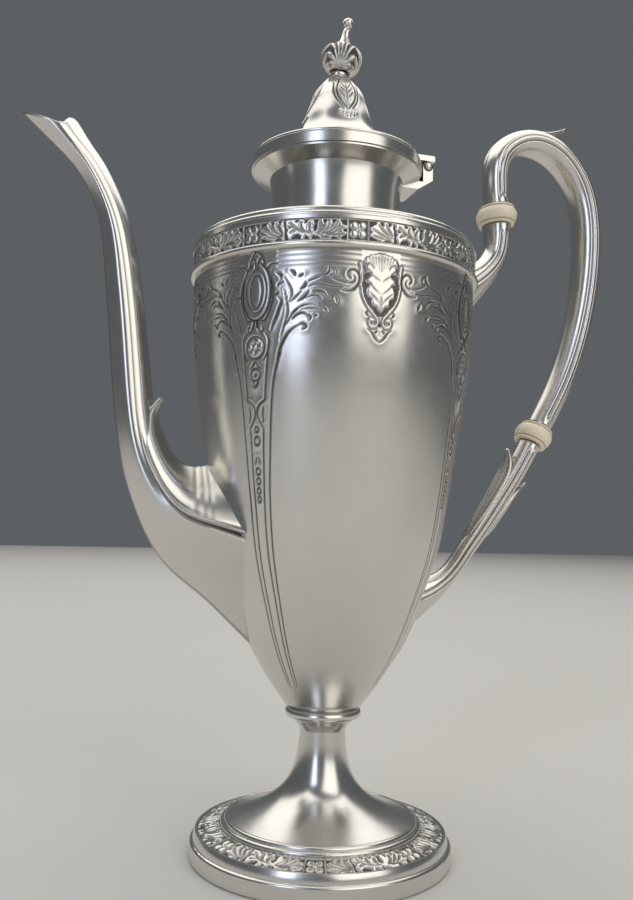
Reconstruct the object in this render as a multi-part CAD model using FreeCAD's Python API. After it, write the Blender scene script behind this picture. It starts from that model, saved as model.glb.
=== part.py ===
# Silver coffee pot on a trumpet foot, with a hinged lid, a swan spout and an insulated handle.
# Lengths are in millimetres. The origin is the middle of the foot's underside and +Z is up.
# The spout points along -X, the handle along +X, and the pot is alike on both sides of the XZ plane.
import FreeCAD, Part
import os
from math import cos, exp, pi, radians, sin
from FreeCAD import Vector

# Sheet, castings and fits
sheet = 1.2
casting_wall = 1.3
pin_clearance = 0.03
tenon_clearance = 0.12
lid_gap = 0.15
solder_gap = 0.05
hinge_gap = 0.3

# Foot
foot_radius = 43.5
foot_rim_height = 5.9
foot_rim_width = 5.0
foot_bead_radius = 42.4
foot_bead_height = 2.9
foot_bead_width = 1.5
foot_border_width = 7.4
foot_border_rise = 1.8
foot_ring_width = 2.8
foot_ring_height = 2.3

# Pedestal and waist collar
pedestal_height = 28.2
pedestal_radius = 7.6
pedestal_flare = 6.8
collar_height = 7.1
collar_radius = 12.8
collar_round = 1.2
collar_bore = 5.0

# Body: its outline is given as shares of the body's height and radius
body_height = 143.9
body_radius = 48.0
body_foot_radius = 11.9
body_floor = 2.0
body_outline = ((0.060, 0.379), (0.156, 0.548), (0.255, 0.667), (0.350, 0.765), (0.468, 0.838),
                (0.626, 0.913), (0.768, 0.971), (0.910, 0.999))

# Band round the top of the body
band_bead_depth = 2.0
band_bead_height = 2.2
band_strip_height = 6.8
band_strip_depth = 1.0
band_moulding_height = 4.4
band_moulding_depth = 1.2
band_moulding_lip = 1.8

# Shoulder, neck and mouth
shoulder_height = 10.4
shoulder_flat = 14.0
shoulder_sweep = 5.0
neck_radius = 22.5
neck_height = 17.2
neck_flare = 1.0
lip_setback = 0.5
lip_height = 3.2
lip_edge = 0.64
lip_land = 2.1

# Strainer pierced through the body behind the spout
strainer_hole_radius = 1.5
strainer_pitch = 4.6
strainer_rings = 2
strainer_height = 55.5

# Lid
lid_radius = 30.0
lid_rim_height = 3.2
lid_lip_setback = 0.5
lid_lip_height = 1.8
lid_rim_width = 3.4
dome_height = 29.7
dome_outline = ((0.050, 22.0), (0.160, 16.2), (0.330, 12.9), (0.475, 11.75), (0.672, 9.75),
                (0.774, 8.75), (0.873, 7.0), (0.935, 5.45))
dome_crown_radius = 3.95
bezel_clearance = 1.0
bezel_depth = 4.0

# Finial, which stands a little off upright on its seat
finial_lean = 8.5
finial_seat_radius = 3.5
finial_seat_height = 1.9
bud_radius = 7.7
bud_height = 12.8
bud_neck_radius = 3.3
spire_height = 9.6
spire_radius = 3.5
spire_tip_radius = 1.9
spire_waist_radius = 0.9
stud_radius = 1.2
nut_radius = 2.6
nut_height = 2.2

# Hinge, on the handle side of the lid
hinge_offset = 2.2
hinge_rise = 5.0
knuckle_radius = 1.8
hinge_half_width = 7.0
knuckle_half_width = 2.8
hinge_pin_radius = 0.9
hinge_plate = 2.0
hinge_leaf_reach = 3.4
hinge_plate_overhang = 0.8
bracket_drop = 3.5

# Spout: stations from the mouth to the root as (outer x, outer height, inner x, inner height,
# half width, fullness), with heights above the bottom of the body
spout_stations = ((-110.4, 195.0, -93.4, 195.4, 5.0, 0.72),
                  (-105.0, 190.2, -89.6, 191.4, 5.0, 0.74),
                  (-97.6, 183.7, -85.2, 185.0, 5.1, 0.80),
                  (-91.0, 177.6, -80.6, 179.0, 5.2, 0.84),
                  (-85.2, 169.4, -75.8, 170.8, 5.4, 0.86),
                  (-80.9, 158.4, -70.7, 159.0, 5.8, 0.86),
                  (-78.5, 142.6, -66.9, 142.6, 6.2, 0.86),
                  (-76.3, 122.8, -63.9, 122.4, 6.6, 0.86),
                  (-74.1, 101.4, -61.2, 102.2, 7.2, 0.86),
                  (-70.3, 79.6, -58.9, 90.0, 8.6, 0.85),
                  (-64.0, 61.6, -54.3, 81.8, 11.0, 0.81),
                  (-55.0, 47.0, -48.6, 77.8, 14.2, 0.74),
                  (-43.3, 37.6, -42.0, 77.2, 17.4, 0.67),
                  (-33.0, 29.0, -34.0, 77.2, 19.6, 0.62),
                  (-21.0, 22.0, -21.0, 76.4, 20.5, 0.62))
ridge_share = 0.56
mouth_tip = (-106.5, 191.6)
mouth_notch = (-95.2, 190.0)
mouth_back = (-90.2, 192.0)
mouth_dip = 0.35

# Leaf on the elbow of the spout: its lifted tip as (crown x, crown height, half width, drop) above the
# stations where it spreads out to the ridges of the spout, counted from the root
spout_leaf_tip = ((-57.3, 102.0, 0.8, 0.5), (-59.6, 97.6, 3.6, 2.2), (-59.7, 93.4, 6.0, 4.2))
spout_leaf_stations = 6
leaf_thickness = 1.2

# Handle: middle line of the grip, with heights above the bottom of the body
grip_path = ((63.0, 180.9), (62.0, 190.3), (63.4, 199.6), (68.0, 204.9), (76.6, 208.0), (86.6, 205.6),
             (94.6, 198.4), (100.2, 186.2), (101.8, 171.6), (100.4, 152.6), (96.0, 132.6), (88.6, 113.4),
             (80.8, 99.2))
grip_thickness = 8.8
grip_depth = 13.8
grip_end_thickness = 8.6
grip_end_depth = 11.4
grip_stations = 15

# Insulators: ovals turned across the handle
insulator_thickness = 7.0
upper_insulator_width = 14.2
upper_insulator_depth = 18.0
lower_insulator_width = 13.0
lower_insulator_depth = 16.4
insulator_round = 2.8
lower_tilt = 30.0
tenon_length = 6.0
cross_pin_radius = 0.8
cross_pin_setback = 3.2

# Sockets: middle lines below the insulator down to a root inside the body, with half thicknesses and
# depths that start at the insulator
upper_socket_path = ((63.1, 168.4), (61.9, 161.6), (58.0, 155.8), (52.6, 151.2), (46.0, 147.2),
                     (40.0, 144.6))
upper_socket_halves = ((4.9, 6.6), (4.5, 6.2), (4.4, 5.8), (5.0, 5.6), (6.6, 5.6), (9.6, 5.8), (12.6, 6.2))
lower_socket_path = ((70.6, 81.2), (64.2, 71.2), (57.8, 61.8), (51.6, 53.2), (45.6, 45.2), (39.2, 38.2),
                     (31.4, 33.0), (22.0, 30.0))
lower_socket_halves = ((3.9, 5.4), (3.6, 5.2), (3.5, 4.9), (3.3, 4.6), (3.1, 4.4), (3.1, 4.2), (3.4, 4.2),
                       (4.8, 4.6), (6.4, 5.0))
lower_tail_path = ((35.0, 33.4), (31.2, 25.4), (26.7, 17.2), (21.6, 10.4))
lower_tail_half_widths = (3.6, 3.0, 2.2, 0.8)
lower_tail_drops = (1.5, 1.3, 1.0, 0.4)

# Leaves on the handle and its lower socket: ridges from root to lifted tip, half widths and drops
grip_leaf_path = ((57.8, 184.0), (57.3, 192.0), (59.2, 201.2), (65.4, 208.2), (74.4, 212.0), (83.4, 212.7),
                  (91.6, 215.2))
grip_leaf_half_widths = (4.6, 5.2, 5.6, 5.4, 4.4, 2.6, 0.7)
grip_leaf_drops = (1.7, 2.0, 2.3, 2.2, 1.6, 0.7, 0.1)
lower_outer_leaf_path = ((62.6, 61.6), (67.4, 69.4), (71.6, 74.8), (76.3, 78.1))
lower_inner_leaf_path = ((58.6, 71.4), (63.2, 79.4), (66.3, 85.6), (68.0, 91.0))
lower_leaf_half_widths = (3.4, 3.6, 2.8, 0.6)
lower_leaf_drops = (1.2, 1.3, 0.8, 0.1)

# Heights that follow from the sizes above
foot_bead_top = foot_rim_height + foot_bead_height
foot_border_outer = foot_bead_radius - foot_bead_width
foot_border_inner = foot_border_outer - foot_border_width
foot_border_top = foot_bead_top + foot_border_rise
foot_ring_inner = foot_border_inner - foot_ring_width
foot_ring_top = foot_border_top + foot_ring_height
pedestal_top = foot_ring_top + pedestal_height
body_base = pedestal_top + collar_height
band_base = body_base + body_height
band_bead_radius = body_radius + band_bead_depth
lip_radius = lid_radius - lip_setback
lid_lip_radius = lid_radius - lid_lip_setback
strip_base = band_base + band_bead_height
strip_top = strip_base + band_strip_height
band_top = strip_top + band_moulding_height
body_top = strip_top
neck_base = body_top + sheet + shoulder_height
neck_top = neck_base + neck_height
lip_top = neck_top + lip_height
lid_base = lip_top + lid_gap
lid_rim_top = lid_base + lid_rim_height
lid_top = lid_rim_top + lid_lip_height
dome_base = lid_top - sheet
dome_top = lid_top + dome_height
bud_base = dome_top + finial_seat_height
spire_base = bud_base + bud_height
hinge_x = lid_radius + hinge_offset
hinge_z = lid_base + hinge_rise
reach = 2.0 * (foot_radius + band_bead_radius)


def save(shape, name):
    """Writes one piece as its own file."""
    os.makedirs("parts", exist_ok=True)
    shape.exportStep("parts/" + name + ".step")


def curve_through(points):
    """A smooth curve through (x, z) points in the XZ plane."""
    curve = Part.BSplineCurve()
    curve.interpolate([Vector(x, 0, z) for x, z in points])
    return curve


class Outline:
    """Half section of a turned piece, drawn in radius and height."""

    def __init__(self, radius, height):
        self.start = Vector(radius, 0, height)
        self.place = self.start
        self.edges = []

    def to(self, radius, height):
        end = Vector(radius, 0, height)
        self.edges.append(Part.makeLine(self.place, end))
        self.place = end
        return self

    def arc(self, middle_radius, middle_height, radius, height):
        end = Vector(radius, 0, height)
        self.edges.append(Part.Arc(self.place, Vector(middle_radius, 0, middle_height), end).toShape())
        self.place = end
        return self

    def curve(self, points):
        self.edges.append(curve_through([(self.place.x, self.place.z)] + list(points)).toShape())
        self.place = Vector(points[-1][0], 0, points[-1][1])
        return self

    def turned(self):
        if self.place.distanceToPoint(self.start) > 1e-6:
            self.to(self.start.x, self.start.z)
        face = Part.Face(Part.Wire(self.edges))
        return face.revolve(Vector(0, 0, 0), Vector(0, 0, 1), 360)


def inset(points, depth):
    """Points of a turned outline moved inwards by the thickness of its wall."""
    curve = curve_through(points)
    moved = []
    for x, z in points:
        along = curve.tangent(curve.parameter(Vector(x, 0, z)))[0]
        moved.append((x - along.z * depth, z + along.x * depth))
    return moved


def body_points():
    """Outer outline of the body from its foot up to the band."""
    points = [(body_foot_radius, body_base)]
    for height, radius in body_outline:
        points.append((body_radius * radius, body_base + body_height * height))
    points.append((body_radius, band_base))
    return points


def dome_points():
    """Outer outline of the lid's bell from its skirt up to its crown."""
    points = [(lid_radius - lid_rim_width, lid_top)]
    for height, radius in dome_outline:
        points.append((radius, lid_top + dome_height * height))
    points.append((dome_crown_radius, dome_top))
    return points


def pot_core():
    """Space filled by the body and its band, which the spout and the sockets are cut to."""
    body = Outline(0, body_base).to(body_foot_radius, body_base).curve(body_points()[1:])
    body = body.to(body_radius, band_top).to(0, band_top).turned()
    strip_radius = body_radius + band_strip_depth
    band = Outline(0, strip_base).to(strip_radius, strip_base).to(strip_radius, strip_top)
    band = band.to(0, strip_top).turned()
    return body.fuse(band).fuse(band_bead_solid(0)).fuse(band_moulding_solid(0))


def band_bead_solid(bore):
    """Half-round wire under the band, bored to fit the body."""
    middle = band_base + band_bead_height / 2
    land = (body_radius + band_bead_radius) / 2
    outline = Outline(bore, band_base).to(land, band_base)
    return outline.arc(band_bead_radius, middle, land, strip_base).to(bore, strip_base).turned()


def band_moulding_solid(bore):
    """Wire over the band, which laps the edge of the shoulder."""
    rim = body_radius + band_moulding_depth
    step = band_moulding_height / 4
    outline = Outline(bore, strip_top).to(rim, strip_top).to(rim, strip_top + step)
    outline = outline.arc(rim - 0.1 * step, strip_top + 1.9 * step, body_radius, strip_top + 2.3 * step)
    outline = outline.arc(body_radius + 0.1 * step, strip_top + 3.3 * step, body_radius - step, band_top)
    return outline.to(bore, band_top).turned()


def foot_rim():
    inner = foot_radius - foot_rim_width
    edge = foot_rim_height / 6
    outline = Outline(inner, 0).to(foot_radius - edge, 0)
    outline = outline.arc(foot_radius - 0.3 * edge, 0.3 * edge, foot_radius, edge)
    outline = outline.to(foot_radius, foot_rim_height - edge)
    outline = outline.arc(foot_radius - 0.3 * edge, foot_rim_height - 0.3 * edge,
                          foot_radius - edge, foot_rim_height)
    return outline.to(inner, foot_rim_height).turned()


def foot_bead():
    inner = foot_border_outer
    middle = (inner + foot_bead_radius) / 2
    outline = Outline(inner, foot_rim_height).to(foot_bead_radius, foot_rim_height)
    outline = outline.arc(foot_bead_radius - 0.25 * foot_bead_width, foot_bead_top - 0.3 * foot_bead_height,
                          middle, foot_bead_top)
    return outline.to(inner, foot_bead_top).turned()


def foot_border():
    outline = Outline(foot_border_inner, foot_border_top - sheet)
    outline = outline.to(foot_border_outer, foot_bead_top - sheet)
    return outline.to(foot_border_outer, foot_bead_top).to(foot_border_inner, foot_border_top).turned()


def foot_ring():
    """Double wire on the inner edge of the border."""
    outer = foot_border_inner
    middle = outer - foot_ring_width / 2
    half = foot_ring_height / 2
    quarter = foot_ring_width / 4
    outline = Outline(foot_ring_inner, foot_border_top - sheet).to(outer, foot_border_top - sheet)
    outline = outline.to(outer, foot_border_top)
    outline = outline.arc(outer - 0.2 * quarter, foot_border_top + 0.7 * half,
                          middle, foot_border_top + half)
    outline = outline.arc(middle - 0.2 * quarter, foot_border_top + 1.7 * half,
                          foot_ring_inner, foot_ring_top)
    return outline.turned()


def trumpet_radius(height):
    """Outer radius of the pedestal at a height above the ring, which falls off as an exponential."""
    flare = foot_ring_inner - pedestal_radius
    end = exp(-pedestal_height / pedestal_flare)
    return pedestal_radius + flare * (exp(-height / pedestal_flare) - end) / (1 - end)


def pedestal():
    heights = [pedestal_height * share for share in (0.0, 0.06, 0.14, 0.24, 0.37, 0.53, 0.74, 1.0)]
    outer = [(trumpet_radius(height), foot_ring_top + height) for height in heights]
    inner = inset(outer, sheet)
    skirt = foot_border_top - sheet
    fall = foot_border_rise
    outline = Outline(*outer[0]).curve(outer[1:]).to(pedestal_radius - sheet, pedestal_top)
    throat = (foot_ring_inner - sheet, foot_ring_top)
    outline = outline.curve([(x, z) for x, z in reversed(inner[1:-1])] + [throat])
    outline = outline.to(foot_ring_inner - sheet, skirt - sheet)
    outline = outline.to(foot_border_inner, skirt - sheet)
    outline = outline.to(foot_border_outer, skirt - sheet - fall).to(foot_border_outer, skirt - fall)
    return outline.to(foot_border_inner, skirt).to(foot_ring_inner, skirt).turned()


def waist_collar():
    middle = pedestal_top + 0.72 * collar_height
    outline = Outline(collar_bore, pedestal_top).to(pedestal_radius, pedestal_top)
    outline = outline.curve([(pedestal_radius + collar_round, pedestal_top + 0.25 * collar_height),
                             (collar_radius - collar_round, middle - 0.14 * collar_height)])
    outline = outline.arc(collar_radius, middle, body_foot_radius, body_base)
    return outline.to(collar_bore, body_base).turned()


def body_shell():
    """Spun body with its strainer holes behind the spout."""
    outer = body_points()
    inner = inset(outer, sheet)
    floor = (inner[0][0], body_base + body_floor)
    inside = [(x, z) for x, z in reversed(inner[1:-1])]
    outline = Outline(0, body_base).to(body_foot_radius, body_base).curve(outer[1:])
    outline = outline.to(body_radius, body_top).to(body_radius - sheet, body_top)
    outline = outline.to(body_radius - sheet, band_base).curve(inside + [floor]).to(0, floor[1])
    shell = outline.turned()
    height = body_base + strainer_height
    holes = []
    for row in range(-strainer_rings, strainer_rings + 1):
        count = 2 * strainer_rings + 1 - abs(row)
        for index in range(count):
            y = strainer_pitch * (index - (count - 1) / 2)
            z = height + strainer_pitch * row * sin(pi / 3)
            centre = Vector(0, y, z)
            holes.append(Part.makeCylinder(strainer_hole_radius, body_radius, centre, Vector(-1, 0, 0)))
    return shell.cut(Part.makeCompound(holes))


def body_band():
    outer = body_radius + band_strip_depth
    outline = Outline(body_radius, strip_base).to(outer, strip_base).to(outer, strip_top)
    return outline.to(body_radius, strip_top).turned()


def band_moulding():
    """The wire over the band, hollowed to seat on the body and the edge of the shoulder."""
    edge = Outline(0, strip_top).to(body_radius, strip_top).to(body_radius, body_top + sheet)
    seat = edge.to(0, body_top + sheet).turned()
    return band_moulding_solid(body_radius - band_moulding_lip).cut(seat)


def shoulder():
    outer = [(body_radius - band_moulding_lip, body_top + sheet),
             (body_radius - shoulder_flat, body_top + sheet + 0.07 * shoulder_height),
             (neck_radius + shoulder_sweep, body_top + sheet + 0.34 * shoulder_height),
             (neck_radius, neck_base)]
    inner = inset(outer, sheet)
    outline = Outline(body_radius, body_top).to(body_radius, body_top + sheet).to(*outer[0]).curve(outer[1:])
    outline = outline.to(neck_radius - sheet, neck_base)
    outline = outline.curve([inner[2], inner[1], (outer[0][0], body_top)])
    return outline.turned()


def neck_points():
    """Outer outline of the neck, nearly upright below and flaring to the lip."""
    middle = neck_base + 0.5 * neck_height
    flare = neck_base + 0.76 * neck_height
    return [(neck_radius, neck_base), (neck_radius, middle), (neck_radius + 0.25 * neck_flare, flare),
            (neck_radius + neck_flare, neck_top)]


def neck():
    outer = neck_points()
    inner = [(x - sheet, z) for x, z in reversed(outer)]
    return Outline(*outer[0]).curve(outer[1:]).to(*inner[0]).curve(inner[1:]).turned()


def neck_lip():
    """Flared mouth with a flat land that the lid closes on."""
    root = neck_radius + neck_flare
    outline = Outline(root - sheet, neck_top).to(root, neck_top).to(lip_radius, lip_top - lip_edge)
    outline = outline.to(lip_radius, lip_top).to(lip_radius - lip_land, lip_top)
    return outline.to(root - sheet, neck_top + lip_edge).turned()


def lid_rim():
    bore = lid_radius - lid_rim_width
    groove = lid_rim_top + 0.15 * lid_lip_height
    outline = Outline(bore, lid_base).to(lid_radius, lid_base).to(lid_radius, lid_rim_top)
    outline = outline.to(lid_lip_radius - 0.3 * lid_lip_height, groove)
    outline = outline.arc(lid_lip_radius, (groove + lid_top) / 2,
                          lid_lip_radius - 0.5 * lid_lip_height, lid_top)
    return outline.to(bore, lid_top).turned()


def dome_inside():
    """Space under the lid's bell."""
    inner = inset(dome_points(), sheet)
    skirt = lid_radius - lid_rim_width
    crown = (dome_crown_radius - sheet, dome_top - sheet)
    outline = Outline(0, lid_base - bezel_depth - lip_height).to(skirt, lid_base - bezel_depth - lip_height)
    outline = outline.to(skirt, dome_base).curve(inner[1:-1] + [crown]).to(0, crown[1])
    return outline.turned()


def lid_dome():
    outline = Outline(0, dome_base).to(lid_radius - lid_rim_width, dome_base)
    outline = outline.to(*dome_points()[0]).curve(dome_points()[1:]).to(0, dome_top)
    bell = outline.turned().cut(dome_inside())
    hole = Part.makeCylinder(stud_radius + pin_clearance, dome_top, Vector(0, 0, dome_base))
    return bell.cut(hole)


def lid_bezel():
    """Flange under the lid, which keeps it central in the mouth."""
    outer = neck_radius - sheet - bezel_clearance
    outline = Outline(outer - sheet, lip_top - bezel_depth).to(outer, lip_top - bezel_depth)
    ring = outline.to(outer, dome_top).to(outer - sheet, dome_top).turned()
    return ring.common(dome_inside())


def leaning(shape):
    """Tips a piece of the finial over on its seat, towards the handle."""
    tipped = shape.copy()
    tipped.rotate(Vector(0, 0, bud_base), Vector(0, 1, 0), finial_lean)
    return tipped


def stud(radius):
    """Stud through the crown and the finial, bent at the seat."""
    bottom = dome_top - 2 * nut_height
    lower = Part.makeCylinder(radius, bud_base - bottom, Vector(0, 0, bottom))
    knee = Part.makeSphere(radius, Vector(0, 0, bud_base))
    upper = leaning(Part.makeCylinder(radius, bud_height + spire_radius, Vector(0, 0, bud_base)))
    return lower.fuse([knee, upper]).removeSplitter()


def finial_seat():
    """Small turned knob, its top cut to the slope of the bud."""
    half = finial_seat_height / 2
    outline = Outline(0, dome_top).to(0.8 * finial_seat_radius, dome_top)
    outline = outline.arc(finial_seat_radius, dome_top + half, 0.75 * finial_seat_radius, bud_base + half)
    knob = outline.to(0, bud_base + half).turned()
    above = leaning(Part.makeCylinder(2 * bud_radius, bud_height, Vector(0, 0, bud_base)))
    return knob.cut(above).cut(stud(stud_radius + pin_clearance))


def finial_bud():
    centre = bud_base + 0.5 * bud_height
    outline = Outline(0, bud_base).to(0.7 * bud_neck_radius, bud_base)
    outline = outline.curve([(0.93 * bud_radius, centre - 0.22 * bud_height),
                             (bud_radius, centre + 0.06 * bud_height),
                             (0.84 * bud_radius, centre + 0.3 * bud_height),
                             (bud_neck_radius, spire_base)])
    bud = outline.to(0, spire_base).turned()
    return leaning(bud).cut(stud(stud_radius + pin_clearance))


def finial_spire():
    top = spire_base + spire_height
    ball = top - spire_tip_radius
    outline = Outline(0, spire_base).to(spire_radius, spire_base)
    outline = outline.curve([(0.62 * spire_radius, spire_base + 0.16 * spire_height),
                             (0.42 * spire_radius, spire_base + 0.34 * spire_height),
                             (spire_waist_radius, ball - spire_tip_radius)])
    spire = outline.to(0, ball - spire_tip_radius).turned()
    spire = spire.fuse(Part.makeSphere(spire_tip_radius, Vector(0, 0, ball - 0.1 * spire_tip_radius)))
    return leaning(spire).cut(stud(stud_radius + pin_clearance))


def finial_nut():
    """Six-sided nut inside the crown of the lid."""
    corners = [Vector(nut_radius * cos(radians(60 * turn)), nut_radius * sin(radians(60 * turn)), 0)
               for turn in range(7)]
    blank = Part.Face(Part.makePolygon(corners)).extrude(Vector(0, 0, nut_height))
    blank.translate(Vector(0, 0, dome_top - sheet - nut_height))
    return blank.cut(Part.makeCylinder(stud_radius + pin_clearance, dome_top, Vector(0, 0, 0)))


def slab(corners, low_y, high_y):
    """Plate with the given corners in the XZ plane, between two places across the pot."""
    points = [Vector(x, low_y, z) for x, z in corners]
    return Part.Face(Part.makePolygon(points + points[:1])).extrude(Vector(0, high_y - low_y, 0))


def barrel(radius, low_y, high_y):
    return Part.makeCylinder(radius, high_y - low_y, Vector(hinge_x, low_y, hinge_z), Vector(0, 1, 0))


def hinge_bracket():
    """Bracket under the lip that carries the two outer knuckles."""
    outside = hinge_x + knuckle_radius
    inside = lid_radius + hinge_gap
    ledge = hinge_z - knuckle_radius - hinge_gap
    corners = ((neck_radius, lip_top - bracket_drop), (inside - knuckle_radius, lip_top - bracket_drop),
               (outside, lid_base), (outside, ledge), (inside, ledge), (inside, lip_top - lip_edge),
               (neck_radius, lip_top - lip_edge))
    bracket = slab(corners, -hinge_half_width, hinge_half_width)
    for low in (-hinge_half_width, knuckle_half_width + hinge_gap):
        high = low + hinge_half_width - knuckle_half_width - hinge_gap
        cheek = ((inside, ledge), (outside, ledge), (outside, hinge_z), (inside, hinge_z))
        bracket = bracket.fuse([slab(cheek, low, high), barrel(knuckle_radius, low, high)])
    mouth = Outline(0, neck_base).to(*neck_points()[0]).curve(neck_points()[1:])
    mouth = mouth.to(lip_radius, lip_top - lip_edge).to(lip_radius, lip_top)
    mouth = mouth.to(inside, lip_top).to(inside, lid_top).to(0, lid_top).turned()
    sleeve = barrel(hinge_pin_radius + pin_clearance, -2 * hinge_half_width, 2 * hinge_half_width)
    return bracket.cut(mouth).cut(sleeve).removeSplitter()


def hinge_leaf():
    """Plate on the lid with the middle knuckle under it."""
    under = hinge_z + knuckle_radius + hinge_gap
    inner = lid_lip_radius - hinge_leaf_reach
    outside = hinge_x + knuckle_radius
    brow = outside + hinge_plate_overhang
    top = under + hinge_plate
    corners = ((inner, under), (brow, under), (brow, top), (inner, top))
    plate = slab(corners, -hinge_half_width, hinge_half_width)
    foot_outside = lid_lip_radius - lid_lip_height
    foot = slab(((inner, lid_top), (foot_outside, lid_top), (foot_outside, under), (inner, under)),
                -hinge_half_width, hinge_half_width)
    web = slab(((hinge_x - knuckle_radius, hinge_z), (outside, hinge_z), (outside, under),
                (hinge_x - knuckle_radius, under)), -knuckle_half_width, knuckle_half_width)
    leaf = plate.fuse([foot, web, barrel(knuckle_radius, -knuckle_half_width, knuckle_half_width)])
    leaf = leaf.makeFillet(hinge_plate / 4, [edge for edge in leaf.Edges if is_plate_edge(edge, under)])
    bore = barrel(hinge_pin_radius + 2 * pin_clearance, -hinge_half_width, hinge_half_width)
    return leaf.cut(bore).cut(dome_solid())


def is_plate_edge(edge, under):
    """True for the long upper edges of the hinge plate."""
    middle = edge.BoundBox.Center
    return abs(middle.z - under - hinge_plate) < 1e-6 and edge.BoundBox.YLength > hinge_half_width


def dome_solid():
    """Space filled by the lid's bell and everything under it."""
    outline = Outline(0, lid_base).to(lid_radius - lid_rim_width, lid_base)
    return outline.to(*dome_points()[0]).curve(dome_points()[1:]).to(0, dome_top).turned()


def hinge_pin():
    return barrel(hinge_pin_radius, -hinge_half_width, hinge_half_width)


def half_section(ridge, apex, half_width, fullness):
    """Curve from the +Y ridge over an apex to the -Y ridge of a spout section."""
    middle = ridge + (apex - ridge) * 0.5
    side = Vector(0, half_width, 0)
    curve = Part.BSplineCurve()
    curve.interpolate([ridge + side, middle + side * fullness, apex, middle - side * fullness, ridge - side])
    return curve.toShape()


def spout_section(station, wall):
    """One closed section of the spout, drawn in by a wall thickness for its inside."""
    outer = Vector(station[0], 0, station[1] + body_base)
    inner = Vector(station[2], 0, station[3] + body_base)
    across = (outer - inner).normalize()
    outer = outer - across * wall
    inner = inner + across * wall
    ridge = inner + (outer - inner) * ridge_share
    half_width = station[4] - wall
    front = half_section(ridge, outer, half_width, station[5])
    back = half_section(ridge, inner, half_width, station[5])
    return Part.Wire([front, back])


def spout_solid(wall):
    return Part.makeLoft([spout_section(station, wall) for station in spout_stations], True, False)


def mouth_cutter():
    """Block above the line of the mouth, which sinks a little between its tip and its notch."""
    tip, notch, back = [Vector(x, -reach, z + body_base) for x, z in (mouth_tip, mouth_notch, mouth_back)]
    dip = (tip + notch) * 0.5 - Vector(0, 0, mouth_dip)
    far = Vector(reach, 0, 0)
    up = Vector(0, 0, reach)
    corners = [notch, back, back + far, back + far + up, tip - far + up, tip - far, tip]
    edges = [Part.Arc(tip, dip, notch).toShape()]
    for start, end in zip(corners, corners[1:]):
        edges.append(Part.makeLine(start, end))
    return Part.Face(Part.Wire(edges)).extrude(Vector(0, 2 * reach, 0))


def spout(core):
    """Hollow swan spout with a pouring lip, cut to the body."""
    return spout_solid(0).cut(spout_solid(casting_wall)).cut(mouth_cutter()).cut(core)


def spout_leaf(core):
    """Leaf over the back of the elbow, its edges along the ridges and its tip lifted off the spout."""
    sections = []
    spread = spout_stations[-spout_leaf_stations:]
    for x, z, half_width, drop in spout_leaf_tip:
        crown = Vector(x, 0, z + body_base)
        sections.append((crown - Vector(drop, 0, 0), crown, half_width, spread[0][5]))
    for station in spread:
        outer = Vector(station[0], 0, station[1] + body_base)
        inner = Vector(station[2], 0, station[3] + body_base)
        ridge = inner + (outer - inner) * ridge_share
        crown = inner + (inner - outer).normalize() * leaf_thickness
        sections.append((ridge, crown, station[4] + leaf_thickness / 2, station[5]))
    wires = []
    for ridge, crown, half_width, fullness in sections:
        side = Vector(0, half_width, 0)
        back = half_section(ridge, crown, half_width, fullness)
        wires.append(Part.Wire([back, Part.makeLine(ridge - side, ridge + side)]))
    return Part.makeLoft(wires, True, False).cut(spout_solid(-solder_gap)).cut(core)


def leaf_section(place, along, side, half_width, drop, thickness):
    """Closed section across a leaf: crown at its place, edges dropped to each side."""
    out = Vector(-along.z * side, 0, along.x * side)
    left = place + Vector(0, half_width, 0) - out * drop
    right = place - Vector(0, half_width, 0) - out * drop
    crown = Part.Arc(left, place, right).toShape()
    under = Part.Arc(right, place - out * (drop + thickness), left).toShape()
    return Part.Wire([crown, under])


def leaf(path, half_widths, drops, side):
    """Applied leaf along a path in the XZ plane, before it is cut to what carries it."""
    curve = curve_through([(x, z + body_base) for x, z in path])
    sections = []
    for (x, z), half_width, drop in zip(path, half_widths, drops):
        place = Vector(x, 0, z + body_base)
        along = curve.tangent(curve.parameter(place))[0]
        sections.append(leaf_section(place, along, side, half_width, drop, leaf_thickness))
    return Part.makeLoft(sections, True, False)


def oval(place, along, thickness, depth):
    """Oval wire across the handle: half its thickness in the XZ plane and half its depth along Y."""
    across = Vector(-along.z, 0, along.x) * thickness
    side = Vector(0, depth, 0)
    halves = []
    for turn in (1, -1):
        points = [place + side * (turn * cos(radians(angle))) + across * (turn * sin(radians(angle)))
                  for angle in (0, 45, 90, 135, 180)]
        curve = Part.BSplineCurve()
        curve.interpolate(Points=points, InitialTangent=across * turn, FinalTangent=across * -turn)
        halves.append(curve.toShape())
    return Part.Wire(halves)


def arm(insulator_place, path, halves):
    """Solid of a socket: ovals set square to its middle line, from the insulator to its root."""
    centre, tilt = insulator_place
    down = Vector(-sin(radians(tilt)), 0, -cos(radians(tilt)))
    places = [centre + down * (insulator_thickness / 2)]
    places += [Vector(x, 0, z + body_base) for x, z in path]
    curve = Part.BSplineCurve()
    curve.interpolate(Points=places, InitialTangent=down, FinalTangent=places[-1] - places[-2])
    sections = []
    for place, (thickness, depth) in zip(places, halves):
        sections.append(oval(place, curve.tangent(curve.parameter(place))[0], thickness, depth))
    return Part.makeLoft(sections, True, False)


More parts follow.
